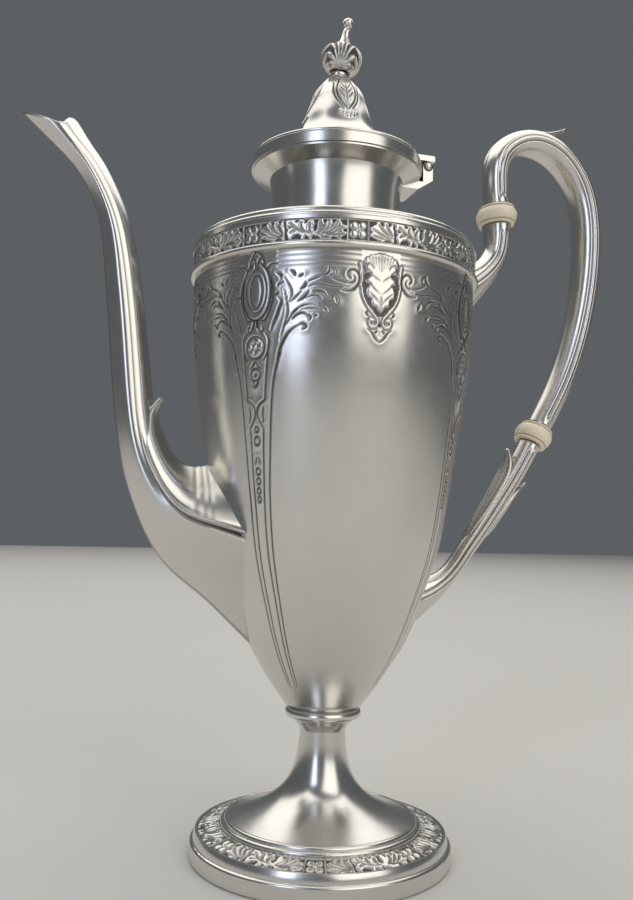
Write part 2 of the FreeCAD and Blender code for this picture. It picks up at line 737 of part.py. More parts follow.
def grip_solid(wall):
    """Grip through ovals at even steps along its middle line, fullest at the crown."""
    places = [Vector(x, 0, z + body_base) for x, z in grip_path]
    curve = Part.BSplineCurve()
    curve.interpolate(Points=places, InitialTangent=Vector(0, 0, 1),
                      FinalTangent=Vector(-sin(radians(lower_tilt)), 0, -cos(radians(lower_tilt))))
    edge = curve.toShape()
    sections = []
    for step in range(grip_stations):
        share = step / (grip_stations - 1)
        at = edge.getParameterByLength(edge.Length * share)
        swell = sin(pi * share) ** 0.8
        thickness = (grip_end_thickness + (grip_thickness - grip_end_thickness) * swell) / 2 - wall
        depth = (grip_end_depth + (grip_depth - grip_end_depth) * swell) / 2 - wall
        sections.append(oval(edge.valueAt(at), edge.tangentAt(at), thickness, depth))
    return Part.makeLoft(sections, True, False)


def insulator_places():
    """Centre and tilt of each insulator, set against the ends of the grip."""
    upper = Vector(grip_path[0][0], 0, grip_path[0][1] + body_base - insulator_thickness / 2)
    lower_end = Vector(grip_path[-1][0], 0, grip_path[-1][1] + body_base)
    down = Vector(-sin(radians(lower_tilt)), 0, -cos(radians(lower_tilt)))
    return (upper, 0.0), (lower_end + down * (insulator_thickness / 2), lower_tilt)


def placed(shape, place):
    """Moves a piece drawn upright at the origin to a place on the handle."""
    centre, tilt = place
    moved = shape.copy()
    moved.rotate(Vector(0, 0, 0), Vector(0, 1, 0), tilt)
    moved.translate(centre)
    return moved


def tenons(clearance):
    """The two tongues of an insulator, upright at the origin."""
    thickness = grip_end_thickness / 2 - casting_wall - tenon_clearance + clearance
    depth = grip_end_depth / 2 - casting_wall - tenon_clearance + clearance
    height = insulator_thickness / 2 + tenon_length + clearance
    base = oval(Vector(0, 0, -height), Vector(0, 0, 1), thickness, depth)
    return Part.Face(base).extrude(Vector(0, 0, 2 * height))


def cross_pins(radius):
    """Pins across both tenons of an insulator, upright at the origin."""
    height = insulator_thickness / 2 + cross_pin_setback
    half = grip_end_depth / 2
    ends = [Vector(0, -half, -height), Vector(0, -half, height)]
    return [Part.makeCylinder(radius, 2 * half, end, Vector(0, 1, 0)) for end in ends]


def insulator(place, width, depth):
    bottom = Vector(0, 0, -insulator_thickness / 2)
    rim = Part.Ellipse(bottom + Vector(0, depth / 2, 0), bottom + Vector(width / 2, 0, 0), bottom)
    bun = Part.Face(Part.Wire([rim.toShape()])).extrude(Vector(0, 0, insulator_thickness))
    rims = [edge for edge in bun.Edges if edge.BoundBox.ZLength < 1e-6]
    bun = bun.makeFillet(insulator_round, rims)
    block = bun.fuse(tenons(0)).cut(Part.makeCompound(cross_pins(cross_pin_radius + pin_clearance)))
    return placed(block, place)


def mortised(shape, place):
    """Cuts the seat of a tenon and its cross pin out of a socket or the grip."""
    seat = placed(tenons(tenon_clearance), place)
    holes = placed(Part.makeCompound(cross_pins(cross_pin_radius + pin_clearance)), place)
    return shape.cut(seat).cut(holes)


def main():
    core = pot_core()
    upper_place, lower_place = insulator_places()
    grip = grip_solid(0)
    upper_arm = arm(upper_place, upper_socket_path, upper_socket_halves)
    lower_arm = arm(lower_place, lower_socket_path, lower_socket_halves)

    save(foot_rim(), "foot_rim")
    save(foot_bead(), "foot_bead")
    save(foot_border(), "foot_border")
    save(foot_ring(), "foot_ring")
    save(pedestal(), "pedestal")
    save(waist_collar(), "waist_collar")
    save(body_shell(), "body_shell")
    save(band_bead_solid(body_radius), "band_bead")
    save(body_band(), "body_band")
    save(band_moulding(), "band_moulding")
    save(shoulder(), "shoulder")
    save(neck(), "neck")
    save(neck_lip(), "neck_lip")

    save(spout(core), "spout")
    save(spout_leaf(core), "spout_leaf")

    save(lid_rim(), "lid_rim")
    save(lid_dome(), "lid_dome")
    save(lid_bezel(), "lid_bezel")
    save(finial_seat(), "finial_seat")
    save(finial_bud(), "finial_bud")
    save(finial_spire(), "finial_spire")
    save(stud(stud_radius), "finial_stud")
    save(finial_nut(), "finial_nut")
    save(hinge_bracket(), "hinge_bracket")
    save(hinge_leaf(), "hinge_leaf")
    save(hinge_pin(), "hinge_pin")

    hollow_grip = mortised(grip.cut(grip_solid(casting_wall)), upper_place)
    save(mortised(hollow_grip, lower_place), "handle_grip")
    save(leaf(grip_leaf_path, grip_leaf_half_widths, grip_leaf_drops, 1).cut(grip), "handle_leaf")
    save(insulator(upper_place, upper_insulator_width, upper_insulator_depth), "upper_insulator")
    save(insulator(lower_place, lower_insulator_width, lower_insulator_depth), "lower_insulator")
    save(mortised(upper_arm.cut(core), upper_place), "upper_socket")
    lower_tail = leaf(lower_tail_path, lower_tail_half_widths, lower_tail_drops, 1)
    save(mortised(lower_arm.fuse(lower_tail).cut(core), lower_place), "lower_socket")
    outer_leaf = leaf(lower_outer_leaf_path, lower_leaf_half_widths, lower_leaf_drops, -1)
    save(outer_leaf.cut(lower_arm), "lower_outer_leaf")
    inner_leaf = leaf(lower_inner_leaf_path, lower_leaf_half_widths, lower_leaf_drops, 1)
    save(inner_leaf.cut(lower_arm), "lower_inner_leaf")
    save(Part.makeCompound([placed(pin, upper_place) for pin in cross_pins(cross_pin_radius)]), "upper_pins")
    save(Part.makeCompound([placed(pin, lower_place) for pin in cross_pins(cross_pin_radius)]), "lower_pins")


main()
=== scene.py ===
# Silver coffee pot: looks, light and camera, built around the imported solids.
# Sizes in this file are millimetres until they go into a mesh, which is in metres like the frame.
import bpy
import numpy as np
from math import cos, pi, radians, sin
from mathutils import Matrix, Vector


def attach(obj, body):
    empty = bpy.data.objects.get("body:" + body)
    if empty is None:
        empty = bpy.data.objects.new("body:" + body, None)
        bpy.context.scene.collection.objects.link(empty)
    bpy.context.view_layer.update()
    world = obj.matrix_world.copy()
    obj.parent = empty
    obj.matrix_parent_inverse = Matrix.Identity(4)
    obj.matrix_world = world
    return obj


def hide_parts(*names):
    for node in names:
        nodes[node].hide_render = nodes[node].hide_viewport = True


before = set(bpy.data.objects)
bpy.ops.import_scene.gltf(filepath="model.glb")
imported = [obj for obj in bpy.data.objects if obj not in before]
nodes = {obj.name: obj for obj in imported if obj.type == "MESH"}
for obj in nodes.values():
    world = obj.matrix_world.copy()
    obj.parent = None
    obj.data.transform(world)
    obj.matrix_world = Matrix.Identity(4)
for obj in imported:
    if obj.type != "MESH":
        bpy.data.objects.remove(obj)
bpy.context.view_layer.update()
MM = 0.001


def linear(hex_colour):
    """The linear colour of an sRGB hex value."""
    values = []
    for place in (1, 3, 5):
        share = int(hex_colour[place:place + 2], 16) / 255
        values.append(share / 12.92 if share <= 0.04045 else ((share + 0.055) / 1.055) ** 2.4)
    return (*values, 1.0)


def node(tree, kind, settings=None, links=None):
    """Adds a node: settings are its properties or input values, and links feed its inputs."""
    added = tree.nodes.new(kind)
    for key, value in (settings or {}).items():
        if isinstance(key, str) and hasattr(added, key):
            setattr(added, key, value)
        else:
            added.inputs[key].default_value = value
    for key, source in (links or {}).items():
        tree.links.new(source, added.inputs[key])
    return added


def new_material(name):
    """An empty material with its node tree and its shader."""
    material = bpy.data.materials.new(name)
    material.use_nodes = True
    tree = material.node_tree
    return material, tree, tree.nodes["Principled BSDF"]


def per_metre(size):
    """Scale of a pattern whose features are this many millimetres across."""
    return 1.0 / (size * MM)


def aged_and_shaded_tone(tree, shader, share, first, second, hollow):
    """Colours a shader with two tones, and a third in hollows (oxide, and on some pieces painted shade), and
    returns the mesh's recess value.
    """
    tone = node(tree, "ShaderNodeMix", {"data_type": "RGBA", 6: linear(first), 7: linear(second)},
                {0: share})
    recess = node(tree, "ShaderNodeAttribute", {"attribute_name": "recess"}).outputs["Fac"]
    aged = node(tree, "ShaderNodeMix", {"data_type": "RGBA", 7: linear(hollow)},
                {0: recess, 6: tone.outputs[2]})
    tree.links.new(aged.outputs[2], shader.inputs["Base Color"])
    return recess


# Silver's clean and cloudy tones and the dark of its hollows, which is oxide and, on some pieces, painted
# shade, then its clouds, smears, dents and wipe marks by size in millimetres, detail and roughness.
# Real wipe marks are finer than a pixel, so these are coarser
clean_tone = "#e7e5e1"
cloudy_tone = "#d6d3cc"
oxide_and_shade_tone = "#2b2a27"
silver_marks = ((34, 4.0, 0.6), (7, 3.0, 0.65), (16, 2.0, 0.5), (2.4, 1.0, 0.5))
wipe_share = 0.03
hollow_roughness = 0.3


def silver(name, low, high):
    """Silver that has been polished and handled: soft mirror shine, cloudy patches and fine wipe marks.
    Where the mesh carries a recess value it is dark: oxide that polish has left in chased hollows, and
    painted shade inside the spout, under the applied leaves, at the ends of the handle's arms and on the
    washers of the hinge pins."""
    material, tree, shader = new_material(name)
    place = node(tree, "ShaderNodeTexCoord").outputs["Object"]
    patterns = []
    for size, detail, roughness in silver_marks:
        settings = {"Scale": per_metre(size), "Detail": detail, "Roughness": roughness}
        patterns.append(node(tree, "ShaderNodeTexNoise", settings, {"Vector": place}).outputs["Fac"])
    cloud, smear, dents, wipe = patterns
    recess = aged_and_shaded_tone(tree, shader, cloud, clean_tone, cloudy_tone, oxide_and_shade_tone)
    haze = node(tree, "ShaderNodeMapRange", {1: 0.3, 2: 0.7, 3: low, 4: high}, {0: smear})
    matt = node(tree, "ShaderNodeMath", {"operation": "MULTIPLY_ADD", 1: hollow_roughness},
                {0: recess, 2: haze.outputs[0]})
    tree.links.new(matt.outputs[0], shader.inputs["Roughness"])
    shader.inputs["Metallic"].default_value = 1.0
    surface = node(tree, "ShaderNodeMath", {"operation": "MULTIPLY_ADD", 1: wipe_share},
                   {0: wipe, 2: dents})
    bump = node(tree, "ShaderNodeBump", {"Strength": 0.12, "Distance": 0.3 * MM},
                {"Height": surface.outputs[0]})
    tree.links.new(bump.outputs["Normal"], shader.inputs["Normal"])
    return material


def turned_bone():
    """Turned bone, worn satin: cream, a little see-through, with faint grain and brown in its creases."""
    material, tree, shader = new_material("turned_bone")
    place = node(tree, "ShaderNodeTexCoord").outputs["Object"]
    grain = node(tree, "ShaderNodeTexNoise", {"Scale": per_metre(1.4), "Detail": 3.0}, {"Vector": place})
    stain = node(tree, "ShaderNodeTexNoise", {"Scale": per_metre(9), "Detail": 2.0}, {"Vector": place})
    aged_and_shaded_tone(tree, shader, stain.outputs["Fac"], "#fbf1da", "#f2e4c6", "#8a6f4c")
    shader.inputs["Roughness"].default_value = 0.38
    shader.inputs["Subsurface Weight"].default_value = 0.12
    shader.inputs["Subsurface Radius"].default_value = (0.004, 0.003, 0.002)
    bump = node(tree, "ShaderNodeBump", {"Strength": 0.08, "Distance": 0.1 * MM},
                {"Height": grain.outputs["Fac"]})
    tree.links.new(bump.outputs["Normal"], shader.inputs["Normal"])
    return material


# The finish of each slot, with the roughness of the silver where it is cleanest and cloudiest
finishes = {
    "polished_silver": silver("polished_silver", 0.21, 0.26),
    "chased_silver": silver("chased_silver", 0.22, 0.27),
    "cream_insulator": turned_bone(),
}

for name, piece in nodes.items():
    slot = "cream_insulator" if name.endswith("insulator") else "polished_silver"
    piece.data.materials.clear()
    piece.data.materials.append(finishes[slot])


def spline(knots, values):
    """Natural cubic spline through values that are numbers or points."""
    knots = np.asarray(knots, float)
    values = np.asarray(values, float)
    count = len(knots)
    gaps = np.diff(knots)
    matrix = np.eye(count)
    right = np.zeros_like(values)
    for at in range(1, count - 1):
        matrix[at, at - 1:at + 2] = gaps[at - 1], 2 * (gaps[at - 1] + gaps[at]), gaps[at]
        slopes = np.diff(values[at - 1:at + 2], axis=0)
        right[at] = 6 * (slopes[1] / gaps[at] - slopes[0] / gaps[at - 1])
    bend = np.linalg.solve(matrix, right)

    def between(places):
        places = np.asarray(places, float)
        at = np.clip(np.searchsorted(knots, places) - 1, 0, count - 2)
        shape = places.shape + (1,) * (values.ndim - 1)
        gap = gaps[at].reshape(shape)
        done = (places - knots[at]).reshape(shape)
        left = gap - done
        curve = (bend[at] * left ** 3 + bend[at + 1] * done ** 3) / (6 * gap)
        line = (values[at] / gap - bend[at] * gap / 6) * left
        return curve + line + (values[at + 1] / gap - bend[at + 1] * gap / 6) * done

    return between


def reach_along(points):
    """How far along a chain of points each of them lies."""
    return np.concatenate(([0.0], np.cumsum(np.linalg.norm(np.diff(points, axis=0), axis=1))))


def smooth_line(points, spacing=0.3):
    """Points at even steps along a smooth curve through the given points."""
    points = np.asarray(points, float)
    if len(points) < 3:
        return points
    reach = reach_along(points)
    return spline(reach, points)(np.linspace(0, reach[-1], max(4, int(reach[-1] / spacing))))


def unit(vectors):
    """The same directions at a length of one."""
    return vectors / np.linalg.norm(vectors, axis=-1, keepdims=True)


def bell(distance, width):
    """One at no distance, and falling off smoothly over a width."""
    return np.exp(-(distance / width) ** 2)


def full_turn(count):
    """Angles at even steps round a circle, in radians."""
    return np.arange(count) * 2 * pi / count


def mirrored(quarter):
    """Columns round the pot, from the columns of one quarter taken forwards and backwards, twice."""
    there_and_back = np.concatenate((np.arange(quarter), np.arange(quarter, 0, -1)))
    return np.tile(there_and_back, 2)


class Relief:
    """Chased ornament on a patch of metal: u runs across it and v up it, in millimetres.
    Cut and rise are depths and heights, and dark is the oxide left in the low places."""

    # How far from a stroke or a leaf's edge the metal changes, how wide a stroke swells, how deep a pit is
    stroke_reach = 3.0
    edge_reach = 4.0
    swell_width = 1.3
    pit_depth = 0.25

    def __init__(self, u, v):
        self.u = u
        self.v = v
        self.cut = np.zeros_like(u)
        self.rise = np.zeros_like(u)
        self.dark = np.zeros_like(u)

    def near(self, line, reach):
        """The places near a line, their distance from it and their share of the way along it."""
        low = line.min(axis=0) - reach
        high = line.max(axis=0) + reach
        inside = (self.u > low[0]) & (self.u < high[0]) & (self.v > low[1]) & (self.v < high[1])
        here = np.nonzero(inside)
        points = np.stack((self.u[here], self.v[here]), axis=1)
        gap = np.full(len(points), float(reach))
        share = np.zeros(len(points))
        last = len(line) - 1
        for step in range(last):
            run = line[step + 1] - line[step]
            along = np.clip((points - line[step]) @ run / (run @ run + 1e-12), 0, 1)
            far = np.linalg.norm(points - line[step] - along[:, None] * run, axis=1)
            closer = far < gap
            gap[closer] = far[closer]
            share[closer] = (step + along[closer]) / last
        return here, gap, share

    def groove(self, points, width, depth, swell=0.1, taper=0.5, ink=1.0):
        """One stroke of the tracer: a dark line, thinner at its ends, between slightly swollen sides."""
        here, gap, share = self.near(smooth_line(points), self.stroke_reach)
        pressure = 1 - taper + taper * np.sin(pi * share)
        profile = bell(gap, width * pressure)
        self.cut[here] = np.maximum(self.cut[here], depth * pressure * profile)
        self.dark[here] = np.maximum(self.dark[here], ink * profile)
        self.rise[here] = np.maximum(self.rise[here], swell * bell(gap, self.swell_width))

    def grooves(self, strokes, width, depth, **settings):
        """A set of strokes that are alike."""
        for stroke in strokes:
            self.groove(stroke, width, depth, **settings)

    def wire(self, points, width, height):
        """A raised line with a dark groove along each side."""
        here, gap = self.near(smooth_line(points), 4 * width)[:2]
        profile = bell(gap - 1.9 * width, 0.6 * width)
        self.cut[here] = np.maximum(self.cut[here], 0.6 * height * profile)
        self.dark[here] = np.maximum(self.dark[here], 0.85 * profile)
        self.rise[here] = np.maximum(self.rise[here], height * bell(gap, width))

    def inside(self, outline):
        """Which places lie inside a closed outline, and the outline as a line."""
        line = np.asarray(list(outline) + [outline[0]], float)
        inside = np.zeros(self.u.shape, bool)
        for (u0, v0), (u1, v1) in zip(line, line[1:]):
            crosses = (v0 > self.v) != (v1 > self.v)
            inside ^= crosses & (self.u < (u1 - u0) * (self.v - v0) / (v1 - v0 + 1e-12) + u0)
        return inside, line

    def sink(self, outline, depth):
        """A sunk dark ground inside a closed outline."""
        inside = self.inside(outline)[0]
        self.cut = np.where(inside, depth, self.cut)
        self.dark = np.where(inside, 0.85, self.dark)

    def leaf(self, outline, height, edge):
        """A raised leaf with round edges inside a closed outline, bright where polish reaches it."""
        inside, line = self.inside(outline)
        here, gap = self.near(line, self.edge_reach)[:2]
        away = np.full(self.u.shape, self.edge_reach)
        away[here] = gap
        slope = bell(away, edge)
        self.rise = np.where(inside, np.maximum(self.rise, height * (1 - slope)), self.rise)
        self.dark = np.where(inside, 0.8 * slope, self.dark)
        self.cut = np.where(inside, self.cut * slope, self.cut)

    def boss(self, u, v, across, up, height):
        """A raised round button."""
        out = ((self.u - u) / across) ** 2 + ((self.v - v) / up) ** 2
        self.rise = np.maximum(self.rise, height * np.sqrt(np.clip(1 - out, 0, 1)))
        self.dark = np.where(out < 1, 0.7 * out ** 3, self.dark)

    def pit(self, u, v, radius):
        """A dark dot from a round punch."""
        profile = np.exp(-((self.u - u) ** 2 + (self.v - v) ** 2) / radius ** 2)
        self.cut = np.maximum(self.cut, self.pit_depth * profile)
        self.dark = np.maximum(self.dark, profile)

    def join(self, other, core):
        """Adds another ornament to this one, and leaves only the other inside its core."""
        for field in ("cut", "rise", "dark"):
            mine = getattr(self, field)
            theirs = getattr(other, field)
            setattr(self, field, np.where(core, theirs, np.maximum(mine, theirs)))

    def height(self):
        """How far the metal stands out, or is cut in where that is negative."""
        return self.rise * (1 - np.clip(self.dark, 0, 1)) - self.cut


def half_oval(level, across, up, start=0):
    """Points down one side of an oval, from a start in degrees from its top, with its middle at a height."""
    turns = np.radians(np.linspace(start, 180, 28))
    return np.stack((across * np.sin(turns), level + up * np.cos(turns)), axis=1)


def rectangle(left, right, low, high):
    """Corners of an upright oblong."""
    return ((left, low), (right, low), (right, high), (left, high))


def closed_mesh(name, rows, body, slot, dark=None, ring=False, stands_for=None):
    """A piece from rows of points in millimetres, each row a loop. The ends are capped, or joined to
    each other where the section is a ring. It may stand for a CAD node."""
    count, across = rows.shape[:2]
    row, column = np.meshgrid(np.arange(count if ring else count - 1), np.arange(across), indexing="ij")
    above = (row + 1) % count
    beside = (column + 1) % across
    quads = np.stack((row * across + column, row * across + beside,
                      above * across + beside, above * across + column), axis=-1).reshape(-1, 4)
    points = rows.reshape(-1, 3)
    a, b, c, d = (points[quads[:, corner]] for corner in range(4))
    middle = points.mean(axis=0)
    volume = np.einsum("ij,ij->i", a + b + c + d - 4 * middle, np.cross(c - a, d - b)).sum()
    if volume < 0:
        quads = quads[:, ::-1]
    faces = quads.tolist()
    if not ring:
        first = list(range(across))
        last = list(range((count - 1) * across, count * across))
        faces += [first, last[::-1]] if volume < 0 else [first[::-1], last]
    mesh = bpy.data.meshes.new(name)
    mesh.from_pydata((points * MM).tolist(), [], faces)
    mesh.shade_smooth()
    if dark is not None:
        values = mesh.attributes.new("recess", "FLOAT", "POINT")
        values.data.foreach_set("value", np.clip(dark, 0, 1).ravel().astype(np.float32))
    mesh.materials.append(finishes[slot])
    piece = bpy.data.objects.new(name, mesh)
    bpy.context.scene.collection.objects.link(piece)
    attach(piece, body)
    if stands_for:
        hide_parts(stands_for)


def round_the_pot(turns, radius, height):
    """Points of a turned surface: turns in radians from the front towards the handle."""
    return np.stack((radius * np.sin(turns), -radius * np.cos(turns),
                     np.broadcast_to(height, radius.shape)), axis=-1)


def chased_ring(name, body, turns, outer, dark, inner, stands_for=None):
    """Ring round the pot from a chased outer face of (radius, height) points and a plain inner line."""
    back = np.repeat(inner[:, None, :], len(turns), axis=1)
    section = np.concatenate((outer, back))
    rows = round_the_pot(turns, section[..., 0], section[..., 1])
    shade = np.concatenate((dark, np.zeros(back.shape[:2])))
    closed_mesh(name, rows, body, "chased_silver", shade, ring=True, stands_for=stands_for)


# Body outline, as in the solids: height above the bottom of the body, and radius
body_base = 48.2
body_height = 143.9
body_radius = 48.0
body_shares = (
    (0.0, 0.248), (0.060, 0.379), (0.156, 0.548), (0.255, 0.667), (0.350, 0.765), (0.468, 0.838),
    (0.626, 0.913), (0.768, 0.971), (0.910, 0.999), (1.0, 1.0),
)
body_levels, body_radii = np.array(body_shares).T
body_line = spline(body_levels, body_radius * body_radii)
mm_per_degree = radians(1.0) * body_radius

# How far a chased skin stands over the solid under it, so that its strokes stay above that solid
skin = 0.25


def radius_at(height):
    """Radius of the body at a height above the table."""
    return body_line((height - body_base) / body_height)


# The chased panels repeat eight times by mirroring: four panels between four shells.
# A panel's strokes are (distance from its middle, height above the table), and a shell's the same.
panel_deep = (
    ((6.9, 185.1), (8.2, 184.3), (8.5, 183.2)), ((6.5, 178.3), (7.7, 179.0)),
    ((7.7, 177.5), (8.7, 176.4), (8.2, 174.7), (7.6, 172.8), (6.5, 170.3), (5.6, 167.9)),
    ((11.4, 185.6), (12.4, 185.0), (12.9, 183.7)), ((14.4, 183.4), (15.4, 184.3)),
    ((14.9, 179.6), (16.1, 180.7), (16.4, 181.8)), ((14.1, 176.0), (16.1, 177.4), (17.4, 179.1)),
    ((18.9, 179.0), (21.2, 178.9), (22.7, 177.6)), ((21.8, 183.8), (23.2, 185.0), (23.2, 186.4)),
    ((25.4, 177.2), (25.9, 175.6)), ((21.9, 174.1), (23.0, 172.8)), ((19.1, 171.8), (20.1, 171.5)),
    ((12.3, 170.6), (14.0, 172.1), (16.0, 172.4), (17.1, 171.8)),
    ((17.1, 171.8), (18.0, 171.3), (17.8, 170.2)),
    ((7.5, 156.1), (8.0, 159.3), (8.8, 162.5), (10.4, 165.6), (12.3, 167.7), (14.5, 168.8)),
    ((14.5, 168.8), (16.2, 169.2), (16.8, 168.1), (15.8, 167.6)),
    ((27.1, 179.3), (29.2, 179.2), (31.3, 180.5), (32.3, 182.7), (31.8, 184.8), (30.2, 185.7),
     (28.8, 184.9), (28.7, 183.8), (29.4, 183.0)),
)
panel_fine = (
    ((7.4, 180.6), (7.7, 181.6), (9.2, 182.1)),
    ((16.6, 176.9), (18.6, 177.7), (20.7, 177.3), (21.4, 176.5)),
    ((23.2, 186.4), (24.4, 185.6), (24.6, 184.3), (23.4, 183.6)),
    ((16.9, 181.8), (19.4, 182.9), (21.8, 183.8)),
    ((23.4, 183.6), (25.2, 182.5), (27.2, 181.9), (28.6, 181.6)),
    ((28.2, 181.6), (29.9, 181.7), (30.9, 182.8), (30.4, 184.0)),
    ((9.9, 168.8), (11.6, 170.9), (13.2, 173.0), (15.7, 175.0)),
    ((11.5, 175.9), (13.2, 177.3), (15.1, 179.1)),
    ((12.1, 172.5), (14.2, 174.0), (17.1, 175.0), (19.8, 175.0)),
    ((9.6, 183.4), (11.1, 181.1), (12.1, 178.4), (11.2, 176.0)), ((22.6, 177.2), (23.9, 176.7)),
    ((8.8, 164.5), (9.6, 168.0), (10.8, 172.4), (10.4, 176.4), (9.6, 179.8)),
    ((17.4, 180.4), (20.4, 181.2), (24.0, 180.4), (27.0, 180.4)),
    ((15.0, 173.6), (18.4, 173.8), (21.2, 173.6)),
)
cartouche = (
    ((0.0, 192.3), (0.8, 191.7), (2.1, 190.4)),
    ((0.5, 186.3), (0.5, 188.6), (1.2, 190.0), (2.6, 189.0), (2.2, 187.6), (1.4, 188.5)),
    ((3.5, 186.2), (5.0, 187.8), (7.0, 187.8)), ((0.5, 171.3), (0.5, 168.8)),
    ((0.7, 171.0), (1.0, 168.8), (2.2, 167.4), (2.9, 168.4), (2.3, 169.2)), ((1.8, 170.9), (3.6, 170.7)),
    ((3.6, 167.2), (4.8, 165.1), (4.7, 162.5), (4.0, 160.2), (3.1, 159.1)),
    ((1.8, 156.6), (0.9, 157.4), (0.3, 158.6)), ((1.1, 152.7), (0.2, 151.0)),
    ((3.5, 147.0), (0.8, 145.0), (0.4, 142.9), (1.5, 140.3), (2.9, 138.5)),
    ((2.9, 144.9), (2.5, 142.8), (2.8, 140.6)),
)
panel_edges = (
    ((5.0, 183.8), (6.0, 179.8), (5.6, 176.0), (4.3, 172.6), (3.5, 171.2)),
    ((8.7, 161.0), (6.8, 154.0), (5.85, 146.0), (5.35, 138.0), (4.95, 129.0), (4.6, 121.0), (4.4, 111.0),
     (4.4, 85.0), (4.4, 58.0)),
    ((4.6, 161.0), (3.85, 153.0), (3.45, 147.0)),
    ((2.75, 138.0), (2.5, 132.0), (2.4, 126.0), (2.2, 119.0), (2.2, 85.0), (2.2, 58.0)),
)
husk_rings = ((138.2, 0.7), (134.8, 1.1), (125.5, 0.9), (122.5, 0.85), (119.6, 0.8), (117.0, 0.75))
husk_dash = ((0.45, 129.8), (1.05, 127.7))
border_lines = (191.7, 190.2, 188.4, 187.0)
oval_middle = 179.8
shell_field = (
    (-3.0, 185.6), (3.6, 185.6), (5.7, 184.4), (5.9, 181.0), (5.2, 177.6), (4.2, 175.6), (2.4, 173.6),
    (1.0, 172.0), (-3.0, 172.0),
)
shell_leaf = (
    (-3.0, 191.3), (1.2, 191.3), (2.2, 190.9), (3.2, 190.9), (4.1, 190.2), (5.0, 189.8), (5.5, 188.6),
    (5.75, 187.2), (5.4, 185.6), (4.6, 184.7), (3.7, 185.0), (3.5, 184.2), (4.4, 183.6), (5.2, 182.6),
    (4.8, 181.8), (3.7, 181.6), (4.5, 180.6), (4.85, 179.2), (4.3, 177.6), (3.1, 177.2), (3.2, 176.0),
    (2.7, 174.8), (1.7, 174.8), (1.1, 173.8), (0.0, 172.8), (-3.0, 172.8),
)
shell_frame = (
    (6.7, 187.6), (6.25, 185.6), (6.1, 183.0), (6.05, 180.6), (5.6, 178.2), (4.7, 176.0), (3.2, 173.9),
    (1.7, 172.3), (0.85, 170.9), (1.0, 169.6), (2.25, 168.8), (3.4, 169.7), (3.1, 171.0), (2.2, 170.8),
)
shell_ribs = (
    ((0.0, 185.6), (0.0, 191.0)), ((0.7, 186.4), (1.2, 191.0)), ((1.4, 186.9), (2.3, 190.6)),
    ((2.1, 187.2), (3.3, 190.3)), ((2.7, 187.6), (4.3, 189.7)),
)
shell_veins = (
    ((0.0, 173.8), (0.0, 178.2)), ((0.3, 178.6), (2.4, 180.2), (4.1, 182.4)),
    ((0.3, 175.6), (2.2, 177.6), (4.1, 179.4)), ((0.2, 182.4), (1.8, 183.4), (3.2, 184.6)),
)
shell_curl = ((2.5, 186.2), (3.6, 187.7), (4.9, 187.2), (4.8, 185.9), (3.9, 185.9))
shell_tail = (
    ((3.6, 171.9), (4.4, 172.6), (4.1, 173.6)), ((3.9, 168.2), (2.4, 167.0), (1.4, 165.4), (0.0, 164.3)),
    ((0.0, 170.1), (0.0, 168.6)), ((1.0, 168.0), (1.5, 166.8)),
)

# Where a panel's middle lies, in degrees from the shell before it, and how far it drifts lower down
panel_turn = 46.6
panel_drift = 1.8
drift_top = 175.0
drift_length = 55.0
# Six-petalled floret, with pits beside its petals by a turn in radians, and the small bead under it
floret_middle = 162.8
petal_ring = 1.95
petal_size = 1.15
pit_ring = 1.25
pit_turn = 0.52
bead_middle = 154.7


def panel_relief(turn, height):
    """Ornament of one panel, by the turn from the front in degrees, from 0 to 90."""
    middle = panel_turn + panel_drift * np.clip((drift_top - height) / drift_length, 0, 1)
    before = (middle - turn) * mm_per_degree
    after = (turn - middle) * mm_per_degree * panel_turn / (90 - panel_turn)
    panel = Relief(np.where(turn <= middle, before, after), height)
    panel.grooves(panel_deep, 0.40, 0.24)
    panel.grooves(panel_fine, 0.26, 0.14)
    panel.grooves(cartouche, 0.34, 0.2, taper=0.25)
    panel.grooves(panel_edges, 0.34, 0.2, swell=0.05, taper=0.0)
    panel.groove(half_oval(oval_middle, 5.2, 8.8, 22), 0.5, 0.26, taper=0.2)
    panel.groove(half_oval(oval_middle, 3.7, 6.6), 0.26, 0.15, taper=0.0)
    panel.groove(half_oval(oval_middle, 2.2, 5.1), 0.24, 0.15, taper=0.0)
    panel.boss(0, oval_middle, 2.0, 4.8, 0.2)
    for level in border_lines:
        panel.groove(((7.4, level), (32.6, level)), 0.26, 0.12, swell=0.05, taper=0.0, ink=0.55)
    for petal in range(6):
        swing = radians(60 * petal + 30)
        beside = swing + pit_turn
        panel.boss(petal_ring * sin(swing), floret_middle + petal_ring * cos(swing),
                   petal_size, petal_size, 0.24)
        panel.pit(pit_ring * sin(beside), floret_middle + pit_ring * cos(beside), 0.38)
    panel.boss(0, floret_middle, 0.75, 0.75, 0.3)
    panel.groove(half_oval(floret_middle, 3.35, 3.35), 0.3, 0.2, taper=0.0)
    panel.groove(half_oval(bead_middle, 1.8, 1.8), 0.3, 0.18, taper=0.0)
    panel.pit(0, bead_middle, 0.55)
    for level, size in husk_rings:
        panel.groove(half_oval(level, size, size * 1.2), 0.3, 0.18, taper=0.0)
    panel.groove(husk_dash, 0.36, 0.2)
    return panel


# Half the turn, in degrees, that a shell has to itself
shell_core = 7.0


def shell_relief(turn, height):
    """Ornament of one shell between two panels."""
    shell = Relief(np.minimum(turn, 90 - turn) * mm_per_degree, height)
    shell.sink(shell_field, 0.12)
    shell.leaf(shell_leaf, 0.34, 0.3)
    shell.wire(shell_frame, 0.36, 0.22)
    shell.grooves(shell_ribs, 0.19, 0.12, swell=0.0, ink=0.55)
    shell.grooves(shell_veins, 0.22, 0.1, swell=0.0, taper=0.8, ink=0.45)
    shell.groove(shell_curl, 0.24, 0.14, swell=0.0, ink=0.8)
    shell.grooves(shell_tail, 0.32, 0.2)
    return shell


# Heights between which the husks and then the full ornament lie, up to the top of the chased skin
husks_base = 114.6
husks_top = 145.0
skin_top = 192.05


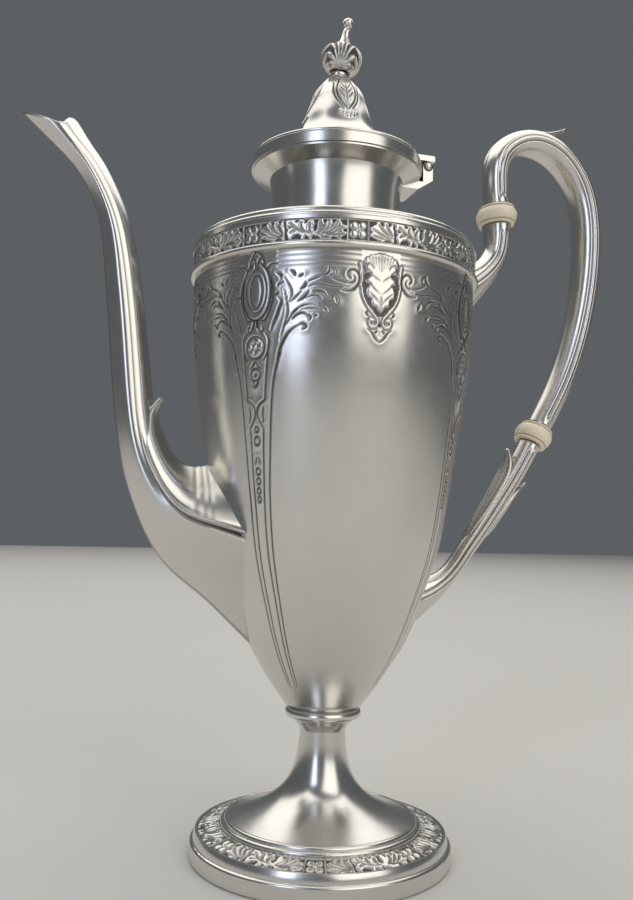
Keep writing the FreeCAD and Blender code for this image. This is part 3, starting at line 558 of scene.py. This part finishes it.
def body_chasing():
    """Thin chased skin over the body: fine steps where the ornament is, long ones where only lines run."""
    quarter = 220
    fold = mirrored(quarter)
    levels = np.concatenate((np.linspace(body_base + 0.1, husks_base, 26, endpoint=False),
                             np.linspace(husks_base, husks_top, 80, endpoint=False),
                             np.arange(husks_top, skin_top, 0.34), [skin_top]))
    turn, height = np.meshgrid(np.linspace(0, 90, quarter + 1), levels)
    relief = panel_relief(turn, height)
    relief.join(shell_relief(turn, height), np.minimum(turn, 90 - turn) < shell_core)
    radius = radius_at(height) + skin + relief.height()
    outer = np.stack((radius, height), axis=-1)[:, fold]
    back = np.linspace(levels[-1], levels[0], 24)
    inner = np.stack((radius_at(back) - skin, back), axis=1)
    chased_ring("body_chasing", "pot", full_turn(4 * quarter), outer, relief.dark[:, fold], inner)


# One repeat of the leaf border, from the middle of one square to the next: (along, up)
border_length = 34.2
border_height = 6.8
square_half = 3.25
# Dark gaps between the leaves, and the leaves' veins, from the edge of a square
border_gaps = (
    ((0.4, 6.3), (0.4, 4.4), (1.2, 5.0), (2.0, 5.3), (2.6, 6.3)), ((0.4, 3.5), (0.4, 2.6), (1.4, 2.9)),
    ((0.4, 1.7), (0.4, 0.5), (3.6, 0.5), (2.4, 1.0)), ((3.6, 6.3), (4.4, 5.0), (5.0, 6.3)),
    ((6.2, 6.3), (6.6, 5.2), (7.3, 6.3)), ((5.0, 0.5), (6.2, 1.0), (7.6, 0.5)),
    ((8.4, 6.3), (8.7, 4.6), (9.2, 3.4), (8.8, 2.0), (9.6, 0.5), (8.3, 0.5), (8.2, 2.2), (8.4, 3.4),
     (8.0, 5.0), (7.9, 6.3)),
    ((9.6, 4.7), (10.8, 4.2), (9.4, 3.7)),
    ((10.4, 0.5), (11.4, 1.8), (12.6, 2.0), (13.6, 1.4), (13.2, 0.5)),
    ((11.6, 6.3), (12.2, 5.3), (12.8, 6.3)), ((14.4, 6.3), (15.0, 5.1), (15.8, 6.3)),
    ((14.6, 0.5), (15.2, 1.7), (16.0, 0.5)),
    ((17.2, 6.3), (17.8, 5.0), (17.2, 3.6), (18.0, 2.6), (18.6, 3.8), (18.4, 5.2), (19.0, 6.3)),
    ((16.8, 0.5), (17.4, 1.6), (18.6, 1.2), (19.6, 0.5)), ((20.2, 6.3), (20.8, 4.9), (21.6, 6.3)),
    ((23.0, 6.3), (23.4, 4.7), (24.2, 6.3)), ((25.4, 6.3), (26.0, 5.2), (27.3, 4.5), (27.3, 6.3)),
    ((27.3, 3.7), (26.1, 3.0), (27.3, 2.6)), ((22.4, 0.5), (23.6, 1.2), (25.0, 0.5)),
    ((27.3, 1.9), (26.0, 1.0), (25.8, 0.5), (27.3, 0.5)),
)
border_veins = (
    ((7.8, 1.5), (4.6, 2.2), (1.2, 4.0)), ((7.7, 1.8), (5.0, 3.4), (3.1, 5.5)),
    ((7.8, 2.2), (6.6, 3.6), (5.6, 5.7)), ((7.2, 1.3), (4.4, 1.4), (1.4, 1.9)),
    ((17.0, 2.3), (13.5, 3.0), (9.9, 5.6)), ((14.8, 2.7), (13.6, 3.8), (13.5, 5.6)),
    ((16.4, 2.5), (16.0, 3.8), (16.5, 5.4)), ((12.4, 3.4), (11.2, 3.0), (10.2, 2.4)),
    ((19.6, 1.8), (21.4, 3.2), (22.2, 5.6)), ((20.2, 2.0), (23.0, 3.0), (24.8, 5.4)),
    ((20.8, 1.9), (23.6, 2.4), (26.2, 4.0)), ((20.6, 1.5), (23.6, 1.7), (26.4, 1.9)),
)
# Height of the leaves, half width of the posts, height of the rails, and points up and along one repeat
leaf_height = 0.5
post_half = 0.35
rail_height = 0.75
border_rows = 25
border_steps = 108


def border_relief(along, up):
    """One repeat of the border: full leaves with small dark gaps between them, and framed squares."""
    border = Relief(along, up)
    border.rise[:] = leaf_height
    for outline in border_gaps:
        border.sink(np.add(outline, (square_half, 0)), 0.4)
    for vein in border_veins:
        border.groove(np.add(vein, (square_half, 0)), 0.26, 0.22, swell=0.0, ink=0.65)
    for end in (0.0, border_length):
        border.sink(rectangle(end - square_half, end + square_half, 0, border_height), 0.25)
        for side in (-1, 1):
            post = end + side * square_half
            border.leaf(rectangle(post - post_half, post + post_half, 0, border_height), 0.5, 0.2)
            for lift in (-1, 1):
                border.boss(end + side * 1.3, border_height / 2 + lift * 1.3, 1.35, 1.35, 0.6)
        border.boss(end, border_height / 2, 0.8, 0.8, 0.75)
    for low in (-0.2, border_height - 0.55):
        border.leaf(rectangle(-1, border_length + 1, low, low + rail_height), 0.55, 0.25)
    return border


def leaf_border(name, repeats, first, low, high, thickness):
    """Ring of leaf border on a strip from one (radius, height) to another. It stands for a plain ring."""
    along, up = np.meshgrid(np.linspace(0, border_length, border_steps, endpoint=False),
                            np.linspace(0, border_height, border_rows))
    relief = border_relief(along, up)
    rise = np.tile(relief.height() - leaf_height, (1, repeats))
    dark = np.tile(relief.dark, (1, repeats))
    turns = radians(first) + full_turn(repeats * border_steps)
    low = np.asarray(low)
    high = np.asarray(high)
    run = unit(high - low)
    out = np.array((run[1], -run[0]))
    share = np.linspace(0, 1, border_rows)[:, None, None]
    outer = low + share * (high - low) + rise[..., None] * out
    inner = np.stack((high - thickness * out, low - thickness * out))
    chased_ring(name + "_leaves", "pot", turns, outer, dark, inner, stands_for=name)


# Lid and finial
lid_top = 238.25
dome_height = 29.7
dome_shares = (
    (0.0, 26.6), (0.05, 22.0), (0.16, 16.2), (0.33, 12.9), (0.475, 11.75), (0.672, 9.75), (0.774, 8.75),
    (0.873, 7.0), (0.935, 5.45), (1.0, 3.95),
)
dome_points = [(radius, lid_top + share * dome_height) for share, radius in dome_shares]
dome_reach = reach_along(dome_points)
dome_line = spline(dome_reach, dome_points)
dome_strokes = (((1.5, 266.0), (2.6, 263.0), (3.4, 259.8), (2.9, 256.8), (0.9, 253.2), (0.0, 252.2)),
                ((3.9, 263.6), (4.5, 260.0), (3.9, 256.4), (1.7, 252.6)))
dome_veins = (((0.0, 264.4), (0.0, 254.6)), ((0.0, 260.6), (1.1, 262.2), (1.6, 263.8)),
              ((0.0, 258.4), (1.4, 260.2), (2.2, 262.0)), ((0.0, 256.4), (1.5, 258.0), (2.4, 259.8)))
dome_tuft = ((0.0, 250.3, 0.95, 1.5), (1.55, 250.7, 0.8, 1.15), (2.75, 251.3, 0.6, 0.8))

# Share of the way up the bell at which its chased skin ends, under the seat of the finial
bell_end = 0.985


def lid_chasing():
    """Thin chased skin on the bell of the lid: a hanging bud on each of its four sides."""
    quarter = 120
    fold = mirrored(quarter)
    line = dome_line(np.linspace(dome_reach[2], bell_end * dome_reach[-1], 90))
    turn, height = np.meshgrid(np.linspace(0, 90, quarter + 1), line[:, 1])
    relief = Relief(np.radians(np.minimum(turn, 90 - turn)) * line[:, :1], height)
    relief.grooves(dome_strokes, 0.32, 0.24, swell=0.14, taper=0.3)
    relief.grooves(dome_veins, 0.22, 0.14, swell=0.1, ink=0.8)
    for across, level, half_width, half_height in dome_tuft:
        relief.boss(across, level, half_width, half_height, 0.42)
    slope = unit(np.gradient(line, axis=0))
    out = np.stack((slope[:, 1], -slope[:, 0]), axis=1)
    rise = skin + relief.height()[:, fold]
    outer = line[:, None, :] + rise[..., None] * out[:, None, :]
    inner = (line - skin * out)[::-6]
    chased_ring("lid_chasing", "lid", full_turn(4 * quarter), outer, relief.dark[:, fold], inner)


bud_base = 269.85
finial_lean = 8.5
bud_outline = ((2.4, 0.0), (6.3, 2.7), (7.2, 5.8), (6.2, 9.0), (2.4, 11.2))
# Fans of ribs on the bud: their turn and spread in degrees, where the ribs part, and how far they stand out
fan_turn = -17.0
fan_root = 0.9
fan_droop = 0.16
fan_ribs = 9.0
fan_edge = 60.0
fan_part = 1.8
fan_blend = 2.4
fan_rib_width = 0.4
fan_rise = 0.75
fan_sink = 0.2
spire_outline = (
    (2.5, 10.6), (2.1, 12.2), (1.65, 14.0), (1.4, 16.0), (1.15, 17.6), (1.0, 18.6), (1.5, 19.0),
    (1.9, 20.2), (1.55, 21.4), (0.6, 22.1),
)


def on_the_lean(rows):
    """Rows of a piece of the finial, tipped over on its seat towards the handle."""
    lean = np.array(Matrix.Rotation(radians(finial_lean), 3, "Y"))
    return rows @ lean.T + np.array((0, 0, bud_base))


def finial_leaves():
    """Bud of the finial: four fans of ribs that rise from its waist, spread and droop, with dark gaps."""
    line = smooth_line(bud_outline, 0.17)
    climb = reach_along(line)[:, None]
    turns = full_turn(320)
    swing = (turns + pi / 4) % (pi / 2) - pi / 4
    across = swing[None, :] * line[:, :1]
    up = climb - fan_root + fan_droop * across ** 2
    fan = np.degrees(np.arctan2(across, up))
    reach = np.hypot(across, up)
    off = np.radians((fan + fan_ribs / 2) % fan_ribs - fan_ribs / 2) * reach
    apart = np.clip((reach - fan_part) / fan_blend, 0, 1)
    rib = 1 - apart * (1 - bell(off, fan_rib_width))
    inside = np.clip((fan_edge - np.abs(fan)) / 4, 0, 1) * np.clip((pi / 4 - np.abs(swing)) / 0.05, 0, 1)
    ends = np.clip(np.minimum(climb, climb[-1] - climb) / 0.8, 0, 1)
    radius = line[:, :1] + (inside * (fan_rise * rib - fan_sink) - fan_sink) * ends
    dark = 0.9 * (1 - inside * np.clip(1.2 * rib, 0, 1))
    rows = round_the_pot(turns + radians(fan_turn), radius, line[:, 1:])
    closed_mesh("finial_leaves", on_the_lean(rows), "lid", "chased_silver", dark, stands_for="finial_bud")


def ball_spire():
    """Slender spire of the finial with a ball at its tip."""
    turns = full_turn(48)
    line = smooth_line(spire_outline, 0.2)
    rows = round_the_pot(turns, np.repeat(line[:, :1], len(turns), axis=1), line[:, 1:])
    closed_mesh("ball_spire", on_the_lean(rows), "lid", "polished_silver", stands_for="finial_spire")


hinge_place = (32.2, 238.25)
hinge_half_width = 7.0
# Radius, distance from the bracket and painted shade along the outline of a pin's head, darkest on the thin
# washer under it
pin_head_outline = ((1.75, -0.1, 0.9), (1.75, 0.12, 0.9), (1.35, 0.14, 0.9), (1.3, 0.5, 0.2),
                    (0.9, 0.85, 0.0), (0.3, 0.95, 0.0))


def hinge_pin_heads():
    """Riveted heads on the two ends of the hinge pin, each on a thin washer painted dark as shade."""
    turns = full_turn(40)
    line = np.array(pin_head_outline)
    # Painted shade: the washer under each head is dark, the dome of the head nearly clean
    dark = np.repeat(line[:, 2:], len(turns), axis=1)
    for name, side in (("hinge_pin_head_front", -1), ("hinge_pin_head_back", 1)):
        rows = np.stack((hinge_place[0] + line[:, :1] * np.cos(turns),
                         np.repeat(side * (hinge_half_width + line[:, 1:2]), len(turns), axis=1),
                         hinge_place[1] + line[:, :1] * np.sin(turns)), axis=-1)
        closed_mesh(name, rows, "pot", "polished_silver", dark)


body_chasing()
leaf_border("body_band", 9, -9.0, (49.0, 194.3), (49.0, 201.1), 1.0)
leaf_border("foot_border", 7, -19.0, (40.9, 8.8), (33.5, 10.6), 1.2)
lid_chasing()
finial_leaves()
ball_spire()
hinge_pin_heads()


def along_path(points, spread, count):
    """Even places on a smooth path of (x, z) points, with the direction, spread and distance at each."""
    reach = reach_along(points)
    steps = np.linspace(0, reach[-1], count)
    places = spline(reach, points)(steps)
    ways = unit(np.gradient(places, axis=0))
    return places, ways, spline(reach, spread)(steps), steps


# Where the straight band starts, and how deep a piece may reach into the body's wall
band_base = 192.1
wall_sink = 0.5


def clear_of_body(points):
    """Points moved out into the body's wall where they would come through it."""
    height = points[..., 2]
    radius = np.hypot(points[..., 0], points[..., 1])
    wall = np.where(height < band_base, radius_at(np.minimum(height, band_base)), body_radius) - wall_sink
    push = np.maximum(1.0, wall / radius)
    return points * np.stack((push, push, np.ones_like(push)), axis=-1)


def about_path(places, ways, lift, beside):
    """Points about a path of the handle: how far each stands off the path, and how far beside it."""
    out = np.stack((-ways[:, 1], ways[:, 0]), axis=1)
    middle = places[:, None, :] + lift[..., None] * out[:, None, :]
    return clear_of_body(np.stack((middle[..., 0], beside, middle[..., 1] + body_base), axis=-1))


grip_path = (
    (63.0, 180.9), (62.0, 190.3), (63.4, 199.6), (68.0, 204.9), (76.6, 208.0), (86.6, 205.6),
    (94.6, 198.4), (100.2, 186.2), (101.8, 171.6), (100.4, 152.6), (96.0, 132.6), (88.6, 113.4),
    (80.8, 99.2),
)
grip_swell = [sin(pi * at / (len(grip_path) - 1)) ** 0.8 for at in range(len(grip_path))]
grip_halves = [(4.3 + 0.1 * swell, 5.7 + 1.2 * swell) for swell in grip_swell]
upper_socket_path = (
    (63.0, 173.9), (63.1, 168.4), (61.9, 161.6), (58.0, 155.8), (52.6, 151.2), (46.0, 147.2),
    (40.0, 144.6),
)
upper_socket_halves = (
    (4.9, 6.6), (4.5, 6.2), (4.4, 5.8), (5.0, 5.6), (6.6, 5.6), (9.6, 5.8), (12.6, 6.2),
)
lower_socket_path = (
    (77.3, 93.15), (70.6, 81.2), (64.2, 71.2), (57.8, 61.8), (51.6, 53.2), (45.6, 45.2), (38.2, 39.4),
    (30.0, 35.9), (21.2, 32.5),
)
lower_socket_halves = (
    (3.9, 5.4), (3.6, 5.2), (3.5, 4.9), (3.3, 4.6), (3.1, 4.4), (3.2, 4.2), (5.0, 4.2), (8.0, 4.6),
    (9.0, 5.0),
)

# Height of the bead down each side of an arm, depth of the grooves beside it, and where they start
arm_bead = 0.5
arm_groove = 0.3
bead_start = 3.0


def moulded_arm(name, path, halves, count, bead_width, bead_end, fuller=0.0):
    """Cast arm of the handle: ovals along a path, with a bead between two dark grooves down each side."""
    places, ways, sizes, steps = along_path(path, halves, count)
    turn = full_turn(112)
    inward = fuller * np.sin(pi * steps / steps[-1])[:, None]
    across = sizes[:, :1] * np.cos(turn) * (1 + inward / sizes[:, :1])
    fade = np.clip(np.minimum(steps - bead_start, steps[-1] - bead_end - steps) / 1.2, 0, 1)[:, None]
    bead = bell(across, bead_width) * fade
    groove = bell(np.abs(across) - 1.75 * bead_width, 0.45 * bead_width) * fade
    side = np.sign(np.sin(turn)) * (np.abs(np.sin(turn)) > 0.5)
    beside = sizes[:, 1:] * np.sin(turn) + side * (arm_bead * bead - arm_groove * groove)
    ends = np.minimum(steps, steps[-1] - steps)[:, None]
    # The grooves hold oxide; the dark band at each end, where the arm meets the next part, is painted shade
    dark = np.maximum(0.9 * groove, 0.75 * bell(ends, 0.5))
    rows = about_path(places, ways, across - inward, beside)
    closed_mesh(name + "_cast", rows, "pot", "polished_silver", dark, stands_for=name)


insulator_half = ((1.0, 0.0), (0.98, 1.1), (0.90, 2.2), (0.84, 2.55), (0.87, 3.0), (0.83, 3.4), (0.70, 3.5))
insulator_profile = [(radius, -height) for radius, height in insulator_half[:0:-1]] + list(insulator_half)

# Distance from an insulator's middle to the creases under its lips, and their width
crease_place = 2.55
crease_width = 0.22


def turned_insulator(name, centre, tilt, width, depth):
    """Bone bun between silver and silver, with a thin turned lip at each face."""
    shares = np.linspace(0, 1, len(insulator_profile))
    profile = spline(shares, insulator_profile)(np.linspace(0, 1, 61))
    turn = full_turn(80)
    rows = np.stack((profile[:, :1] * np.cos(turn) * width / 2, profile[:, :1] * np.sin(turn) * depth / 2,
                     np.repeat(profile[:, 1:], len(turn), axis=1)), axis=-1)
    tip = np.array(Matrix.Rotation(radians(tilt), 3, "Y"))
    rows = rows @ tip.T + np.array(centre)
    crease = bell(np.abs(profile[:, 1:]) - crease_place, crease_width)
    dark = np.repeat(0.7 * crease, len(turn), axis=1)
    closed_mesh(name + "_bun", rows, "pot", "cream_insulator", dark, stands_for=name)


grip_leaf_path = (
    (57.8, 184.0), (57.3, 192.0), (59.2, 201.2), (65.4, 208.2), (74.4, 212.4), (83.4, 213.2),
    (91.6, 215.6),
)
grip_leaf_sizes = ((5.2, 3.0), (5.9, 3.8), (6.1, 4.0), (5.8, 3.6), (4.9, 2.6), (3.2, 1.3), (1.2, 0.1))
outer_leaf_path = ((58.8, 55.2), (63.0, 61.4), (68.4, 68.8), (72.2, 74.2), (76.3, 78.1))
outer_leaf_sizes = ((2.2, 1.2), (3.6, 2.2), (4.0, 2.3), (3.2, 1.2), (0.9, 0.1))
inner_leaf_path = ((47.4, 54.6), (53.4, 63.2), (58.6, 71.4), (63.2, 79.4), (66.3, 85.6), (68.0, 91.0))
inner_leaf_sizes = ((1.4, 0.8), (3.0, 1.8), (4.0, 2.5), (4.3, 2.8), (3.6, 2.2), (1.0, 0.3))
tail_path = ((35.0, 33.4), (31.2, 25.4), (26.7, 17.2), (21.6, 10.4))
tail_sizes = ((3.6, 2.0), (3.0, 1.8), (2.2, 1.4), (0.6, 0.5))

# Applied leaves: heights of the rim and the middle vein, depth of the lines beside them, where these lines
# run as shares of the half width, how deep the root sinks into the arm, and its share of the length
leaf_rim = 0.35
leaf_vein = 0.3
leaf_line = 0.12
rim_line_place = 0.72
vein_line_place = 0.2
root_sink = 2.2
root_share = 0.3


def applied_leaf(name, path, sizes, side, stands_for=None):
    """Cast leaf that wraps the arm under it, with a raised rim, a middle vein and a lifted tip."""
    count = 64
    half = 20
    places, ways, spread, steps = along_path(path, sizes, count)
    width = np.maximum(spread[:, :1], 0.3)
    drop = np.maximum(spread[:, 1:], 0.0)
    upper = np.linspace(-1, 1, half)
    lower = np.linspace(1, -1, half + 2)[1:-1]
    rim = leaf_rim * bell(1 - np.abs(upper), 0.14)
    vein = leaf_vein * bell(upper, 0.1)
    line = bell(np.abs(upper) - rim_line_place, 0.07) + bell(np.abs(upper) - vein_line_place, 0.06)
    body = np.clip(width / 3.0, 0.15, 1)
    root = root_sink * np.clip(1 - steps / (root_share * steps[-1]), 0, 1)[:, None] ** 2
    top = -drop * upper ** 2 + (rim + vein - leaf_line * line) * body - root
    under = -drop * lower ** 2 - (0.9 + 0.8 * (1 - lower ** 2)) * np.clip(width / 3.0, 0.6, 1) - root
    lift = np.concatenate((top, under), axis=1)
    beside = width * np.concatenate((upper, lower))
    rows = about_path(places, ways, side * lift, beside)
    # The dark lines beside the rim and vein hold oxide; the flat dark on the whole underside is painted
    # shade
    dark = np.concatenate((0.75 * np.clip(line, 0, 1) * body, np.full((count, half), 0.3)), axis=1)
    closed_mesh(name, rows, "pot", "chased_silver", dark, stands_for=stands_for)


# Swan spout: stations from the mouth to the root, as outer x and z, inner x and z, half width, fullness, and
# the share of the way from the inner to the outer side where its side ridge runs
spout_stations = (
    (-110.4, 195.0, -93.4, 195.4, 5.0, 0.72, 0.50), (-105.0, 190.2, -89.6, 191.4, 5.0, 0.74, 0.52),
    (-97.6, 183.7, -85.2, 185.0, 5.1, 0.80, 0.56), (-91.0, 177.6, -80.6, 179.0, 5.2, 0.84, 0.60),
    (-85.2, 169.4, -75.8, 170.8, 5.4, 0.86, 0.60), (-80.9, 158.4, -70.7, 159.0, 5.8, 0.86, 0.56),
    (-78.5, 142.6, -66.9, 142.6, 6.2, 0.86, 0.51), (-76.3, 122.8, -63.9, 122.4, 6.6, 0.86, 0.50),
    (-74.1, 101.4, -61.2, 102.2, 7.2, 0.86, 0.52), (-70.3, 79.6, -58.9, 90.0, 8.6, 0.85, 0.54),
    (-64.0, 61.6, -54.3, 81.8, 11.0, 0.81, 0.52), (-55.0, 47.0, -48.6, 77.8, 14.2, 0.74, 0.49),
    (-43.5, 37.4, -42.0, 77.2, 17.4, 0.67, 0.46), (-34.4, 29.2, -34.0, 77.2, 19.6, 0.62, 0.44),
    (-23.5, 18.8, -21.0, 76.4, 20.5, 0.62, 0.43),
)
spout_wall = 1.3
mouth_line = (
    (-140.0, 192.4), (-106.6, 191.6), (-100.4, 189.6), (-95.4, 188.0), (-93.6, 188.3), (-91.8, 191.0),
    (-90.4, 191.6), (-88.6, 190.4), (-60.0, 190.4),
)


def bowed(across, fullness):
    """How far out a section stands at each share of its half width, by each station's fullness."""
    ones = np.ones_like(fullness)
    sides = np.stack((-ones, -fullness, 0 * ones, fullness, ones))
    return spline((-1.0, -0.5, 0.0, 0.5, 1.0), sides)(across).T


def spout_surface(wall, rows):
    """Points of the spout's outside, or of its channel where a wall is taken off, from mouth to root."""
    dense = 400
    half = 41
    table = np.array(spout_stations)
    reach = reach_along((table[:, 0:2] + table[:, 2:4]) / 2)
    values = spline(reach, table)(np.linspace(0, reach[-1], dense))
    outer = values[:, 0:2]
    inner = values[:, 2:4]
    across = unit(outer - inner)
    outer = outer - wall * across
    inner = inner + wall * across
    ridge = inner + (outer - inner) * values[:, 6:7]
    width = values[:, 4] - wall
    sweep = np.sin(np.linspace(-pi / 2, pi / 2, half))[:-1]
    bend = bowed(sweep, values[:, 5])
    fall = 1 - np.abs(sweep)[None, :, None]
    sides = []
    for apex, turn in ((outer, 1), (inner, -1)):
        plane = ridge[:, None, :] + (apex - ridge)[:, None, :] * fall
        sides.append(np.stack((plane[..., 0], turn * width[:, None] * bend, plane[..., 1]), axis=-1))
    sheet = np.concatenate(sides, axis=1)
    mouth = np.array(mouth_line)
    over = sheet[..., 2] - np.interp(sheet[..., 0], mouth[:, 0], mouth[:, 1])
    below = np.argmax(over <= 0, axis=0)
    column = np.arange(sheet.shape[1])
    last_over = over[below - 1, column]
    start = below - 1 + last_over / (last_over - over[below, column])
    steps = start[None, :] + np.linspace(0, 1, rows)[:, None] * (dense - 1 - start)[None, :]
    low = np.minimum(steps.astype(int), dense - 2)
    part = (steps - low)[..., None]
    return sheet[low, column] * (1 - part) + sheet[low + 1, column] * part


# Painted shade inside the spout's channel: it grows quickly from the mouth inwards, up to its deepest
channel_mouth_painted_shade = 0.1
channel_root_painted_shade = 4.0
channel_deepest_painted_shade = 0.7


def swan_spout():
    """Hollow spout with a crisp ridge down each side and a long pouring lip."""
    outside = spout_surface(0.0, 170)
    channel = spout_surface(spout_wall, 90)
    rows = clear_of_body(np.concatenate((outside[::-1], channel)) + np.array((0, 0, body_base)))
    # The channel gets painted shade, darker further in from the mouth, through the silver's hollow tone
    depth = np.linspace(channel_mouth_painted_shade, channel_root_painted_shade, len(channel))[:, None]
    shade = np.repeat(np.minimum(depth, channel_deepest_painted_shade), channel.shape[1], axis=1)
    dark = np.concatenate((np.zeros(outside.shape[:2]), shade))
    closed_mesh("swan_spout", rows, "pot", "polished_silver", dark, ring=True, stands_for="spout")


# Leaf on the elbow of the spout: crown x and z, edge x and z, half width and fullness
spout_leaf_line = (
    (-57.6, 101.8, -59.2, 101.2, 1.5, 0.85), (-58.9, 98.2, -62.6, 97.0, 3.8, 0.82),
    (-58.4, 93.4, -64.6, 91.6, 6.4, 0.82), (-56.6, 88.6, -64.6, 84.6, 8.9, 0.84),
    (-53.5, 83.1, -59.0, 72.2, 11.6, 0.81), (-48.2, 79.6, -51.4, 64.0, 14.8, 0.74),
    (-41.9, 80.4, -42.4, 60.6, 18.0, 0.67), (-34.0, 82.6, -33.4, 58.2, 20.2, 0.62),
    (-21.0, 84.8, -21.0, 55.0, 21.1, 0.62),
)
# Where its creases lie, by x, and the heights and depths of its rim, its groove and its creases
leaf_creases = (-42.6, -44.2, -46.4)
elbow_rim = 0.8
elbow_groove = 0.3
elbow_crease = 0.22


def spout_elbow_leaf():
    """Large leaf over the back of the elbow, with raised edges, a lifted tip, and creases at the body."""
    count = 110
    half = 49
    table = np.array(spout_leaf_line)
    reach = reach_along(table[:, :2])
    values = spline(reach, table)(np.linspace(0, reach[-1], count))
    upper = np.linspace(-1, 1, half)
    crown = values[:, None, 0:2]
    edge = values[:, None, 2:4]
    width = values[:, 4:5]
    middle = crown + (edge - crown) * np.abs(upper)[None, :, None]
    surface = np.stack((middle[..., 0], width * bowed(upper, values[:, 5]), middle[..., 1]), axis=-1)
    along = np.gradient(surface, axis=0)
    cross = np.gradient(surface, axis=1)
    out = np.cross(along, cross)
    out /= np.linalg.norm(out, axis=2)[..., None] + 1e-9
    if out[count // 2, half // 2] @ np.array((1.0, 0.0, 1.0)) < 0:
        out = -out
    size = np.clip(width / 6.0, 0.25, 1)
    girth = np.linalg.norm(values[:, 2:4] - values[:, :2], axis=1) + values[:, 4]
    inset = (1 - np.abs(upper))[None, :] * girth[:, None]
    rim = bell(inset, 1.0) * size
    groove = bell(inset - 2.1, 0.55) * size
    creases = sum(bell(values[:, :1] - place, 0.4) for place in leaf_creases)
    creases = creases * np.clip(1.3 - 1.3 * np.abs(upper), 0, 1)[None, :]
    top = surface + (elbow_rim * rim - elbow_groove * groove - elbow_crease * creases)[..., None] * out
    lower = surface[:, ::-1] - size[..., None] * out[:, ::-1]
    rows = clear_of_body(np.concatenate((top, lower), axis=1) + np.array((0, 0, body_base)))
    # The groove and creases hold oxide; the flat dark on the whole lower side is painted shade
    dark = np.concatenate((np.maximum(0.7 * groove, 0.4 * creases), np.full((count, half), 0.8)), axis=1)
    closed_mesh("spout_elbow_leaf", rows, "pot", "chased_silver", dark, stands_for="spout_leaf")


moulded_arm("handle_grip", grip_path, grip_halves, 150, 0.6, 3.0, 0.6)
moulded_arm("upper_socket", upper_socket_path, upper_socket_halves, 60, 0.6, 8.0)
moulded_arm("lower_socket", lower_socket_path, lower_socket_halves, 90, 0.55, 9.0)
turned_insulator("upper_insulator", (63.0, 0.0, 225.6), 0.0, 14.2, 18.0)
turned_insulator("lower_insulator", (79.05, 0.0, 144.37), 30.0, 13.0, 16.4)
applied_leaf("grip_acanthus", grip_leaf_path, grip_leaf_sizes, 1, "handle_leaf")
applied_leaf("lower_outer_acanthus", outer_leaf_path, outer_leaf_sizes, -1, "lower_outer_leaf")
applied_leaf("lower_inner_acanthus", inner_leaf_path, inner_leaf_sizes, 1, "lower_inner_leaf")
applied_leaf("lower_socket_tail", tail_path, tail_sizes, 1)
swan_spout()
spout_elbow_leaf()


def floor_and_light():
    """Plain pale floor, and the grey of the room around it."""
    bpy.ops.mesh.primitive_plane_add(size=6.0, location=(0, 0, 0))
    floor = bpy.context.object
    floor.name = "floor"
    material, shader = new_material("pale_floor")[::2]
    shader.inputs["Base Color"].default_value = linear("#d8d6d2")
    shader.inputs["Roughness"].default_value = 0.9
    floor.data.materials.append(material)
    world = bpy.data.worlds.new("studio")
    world.use_nodes = True
    background = world.node_tree.nodes["Background"].inputs
    background[0].default_value = linear("#74787c")
    background[1].default_value = 0.62
    bpy.context.scene.world = world


def lamp(name, place, aim, width, height, power, colour):
    """Soft oblong lamp: where it stands and aims, its size in metres, its watts and its colour."""
    data = bpy.data.lights.new(name, "AREA")
    data.shape = "RECTANGLE"
    data.size = width
    data.size_y = height
    data.energy = power
    data.color = linear(colour)[:3]
    lit = bpy.data.objects.new(name, data)
    bpy.context.scene.collection.objects.link(lit)
    lit.location = place
    lit.rotation_euler = (Vector(aim) - Vector(place)).to_track_quat("-Z", "Y").to_euler()


floor_and_light()
lamp("window", (-0.85, -0.85, 0.55), (0, 0, 0.2), 0.36, 0.9, 2.4, "#dfe9ff")
lamp("room", (0.45, -1.25, 0.9), (0, 0, 0.25), 1.3, 1.5, 8.5, "#fffbf5")
lamp("ceiling", (0.1, 0.9, 1.8), (0.1, 0.9, 0.0), 3.0, 3.0, 38.0, "#fffcf7")


def set_camera():
    """Camera fitted to the photograph: where it stands, where it looks, and how far it leans."""
    data = bpy.data.cameras.new("camera")
    data.lens = 36.1
    data.sensor_width = 36.0
    data.sensor_fit = "AUTO"
    camera = bpy.data.objects.new("camera", data)
    bpy.context.scene.collection.objects.link(camera)
    forward = Vector((0.2811, 0.9564, 0.0786)).normalized()
    level = forward.cross(Vector((0, 0, 1))).normalized()
    upright = level.cross(forward)
    lean = radians(1.51)
    right = level * cos(lean) + upright * sin(lean)
    up = right.cross(forward)
    turn = Matrix((right, up, -forward)).transposed()
    camera.matrix_world = Matrix.Translation((-0.0922, -0.2978, 0.1107)) @ turn.to_4x4()
    bpy.context.scene.camera = camera


set_camera()
bpy.context.scene.view_settings.view_transform = "Standard"
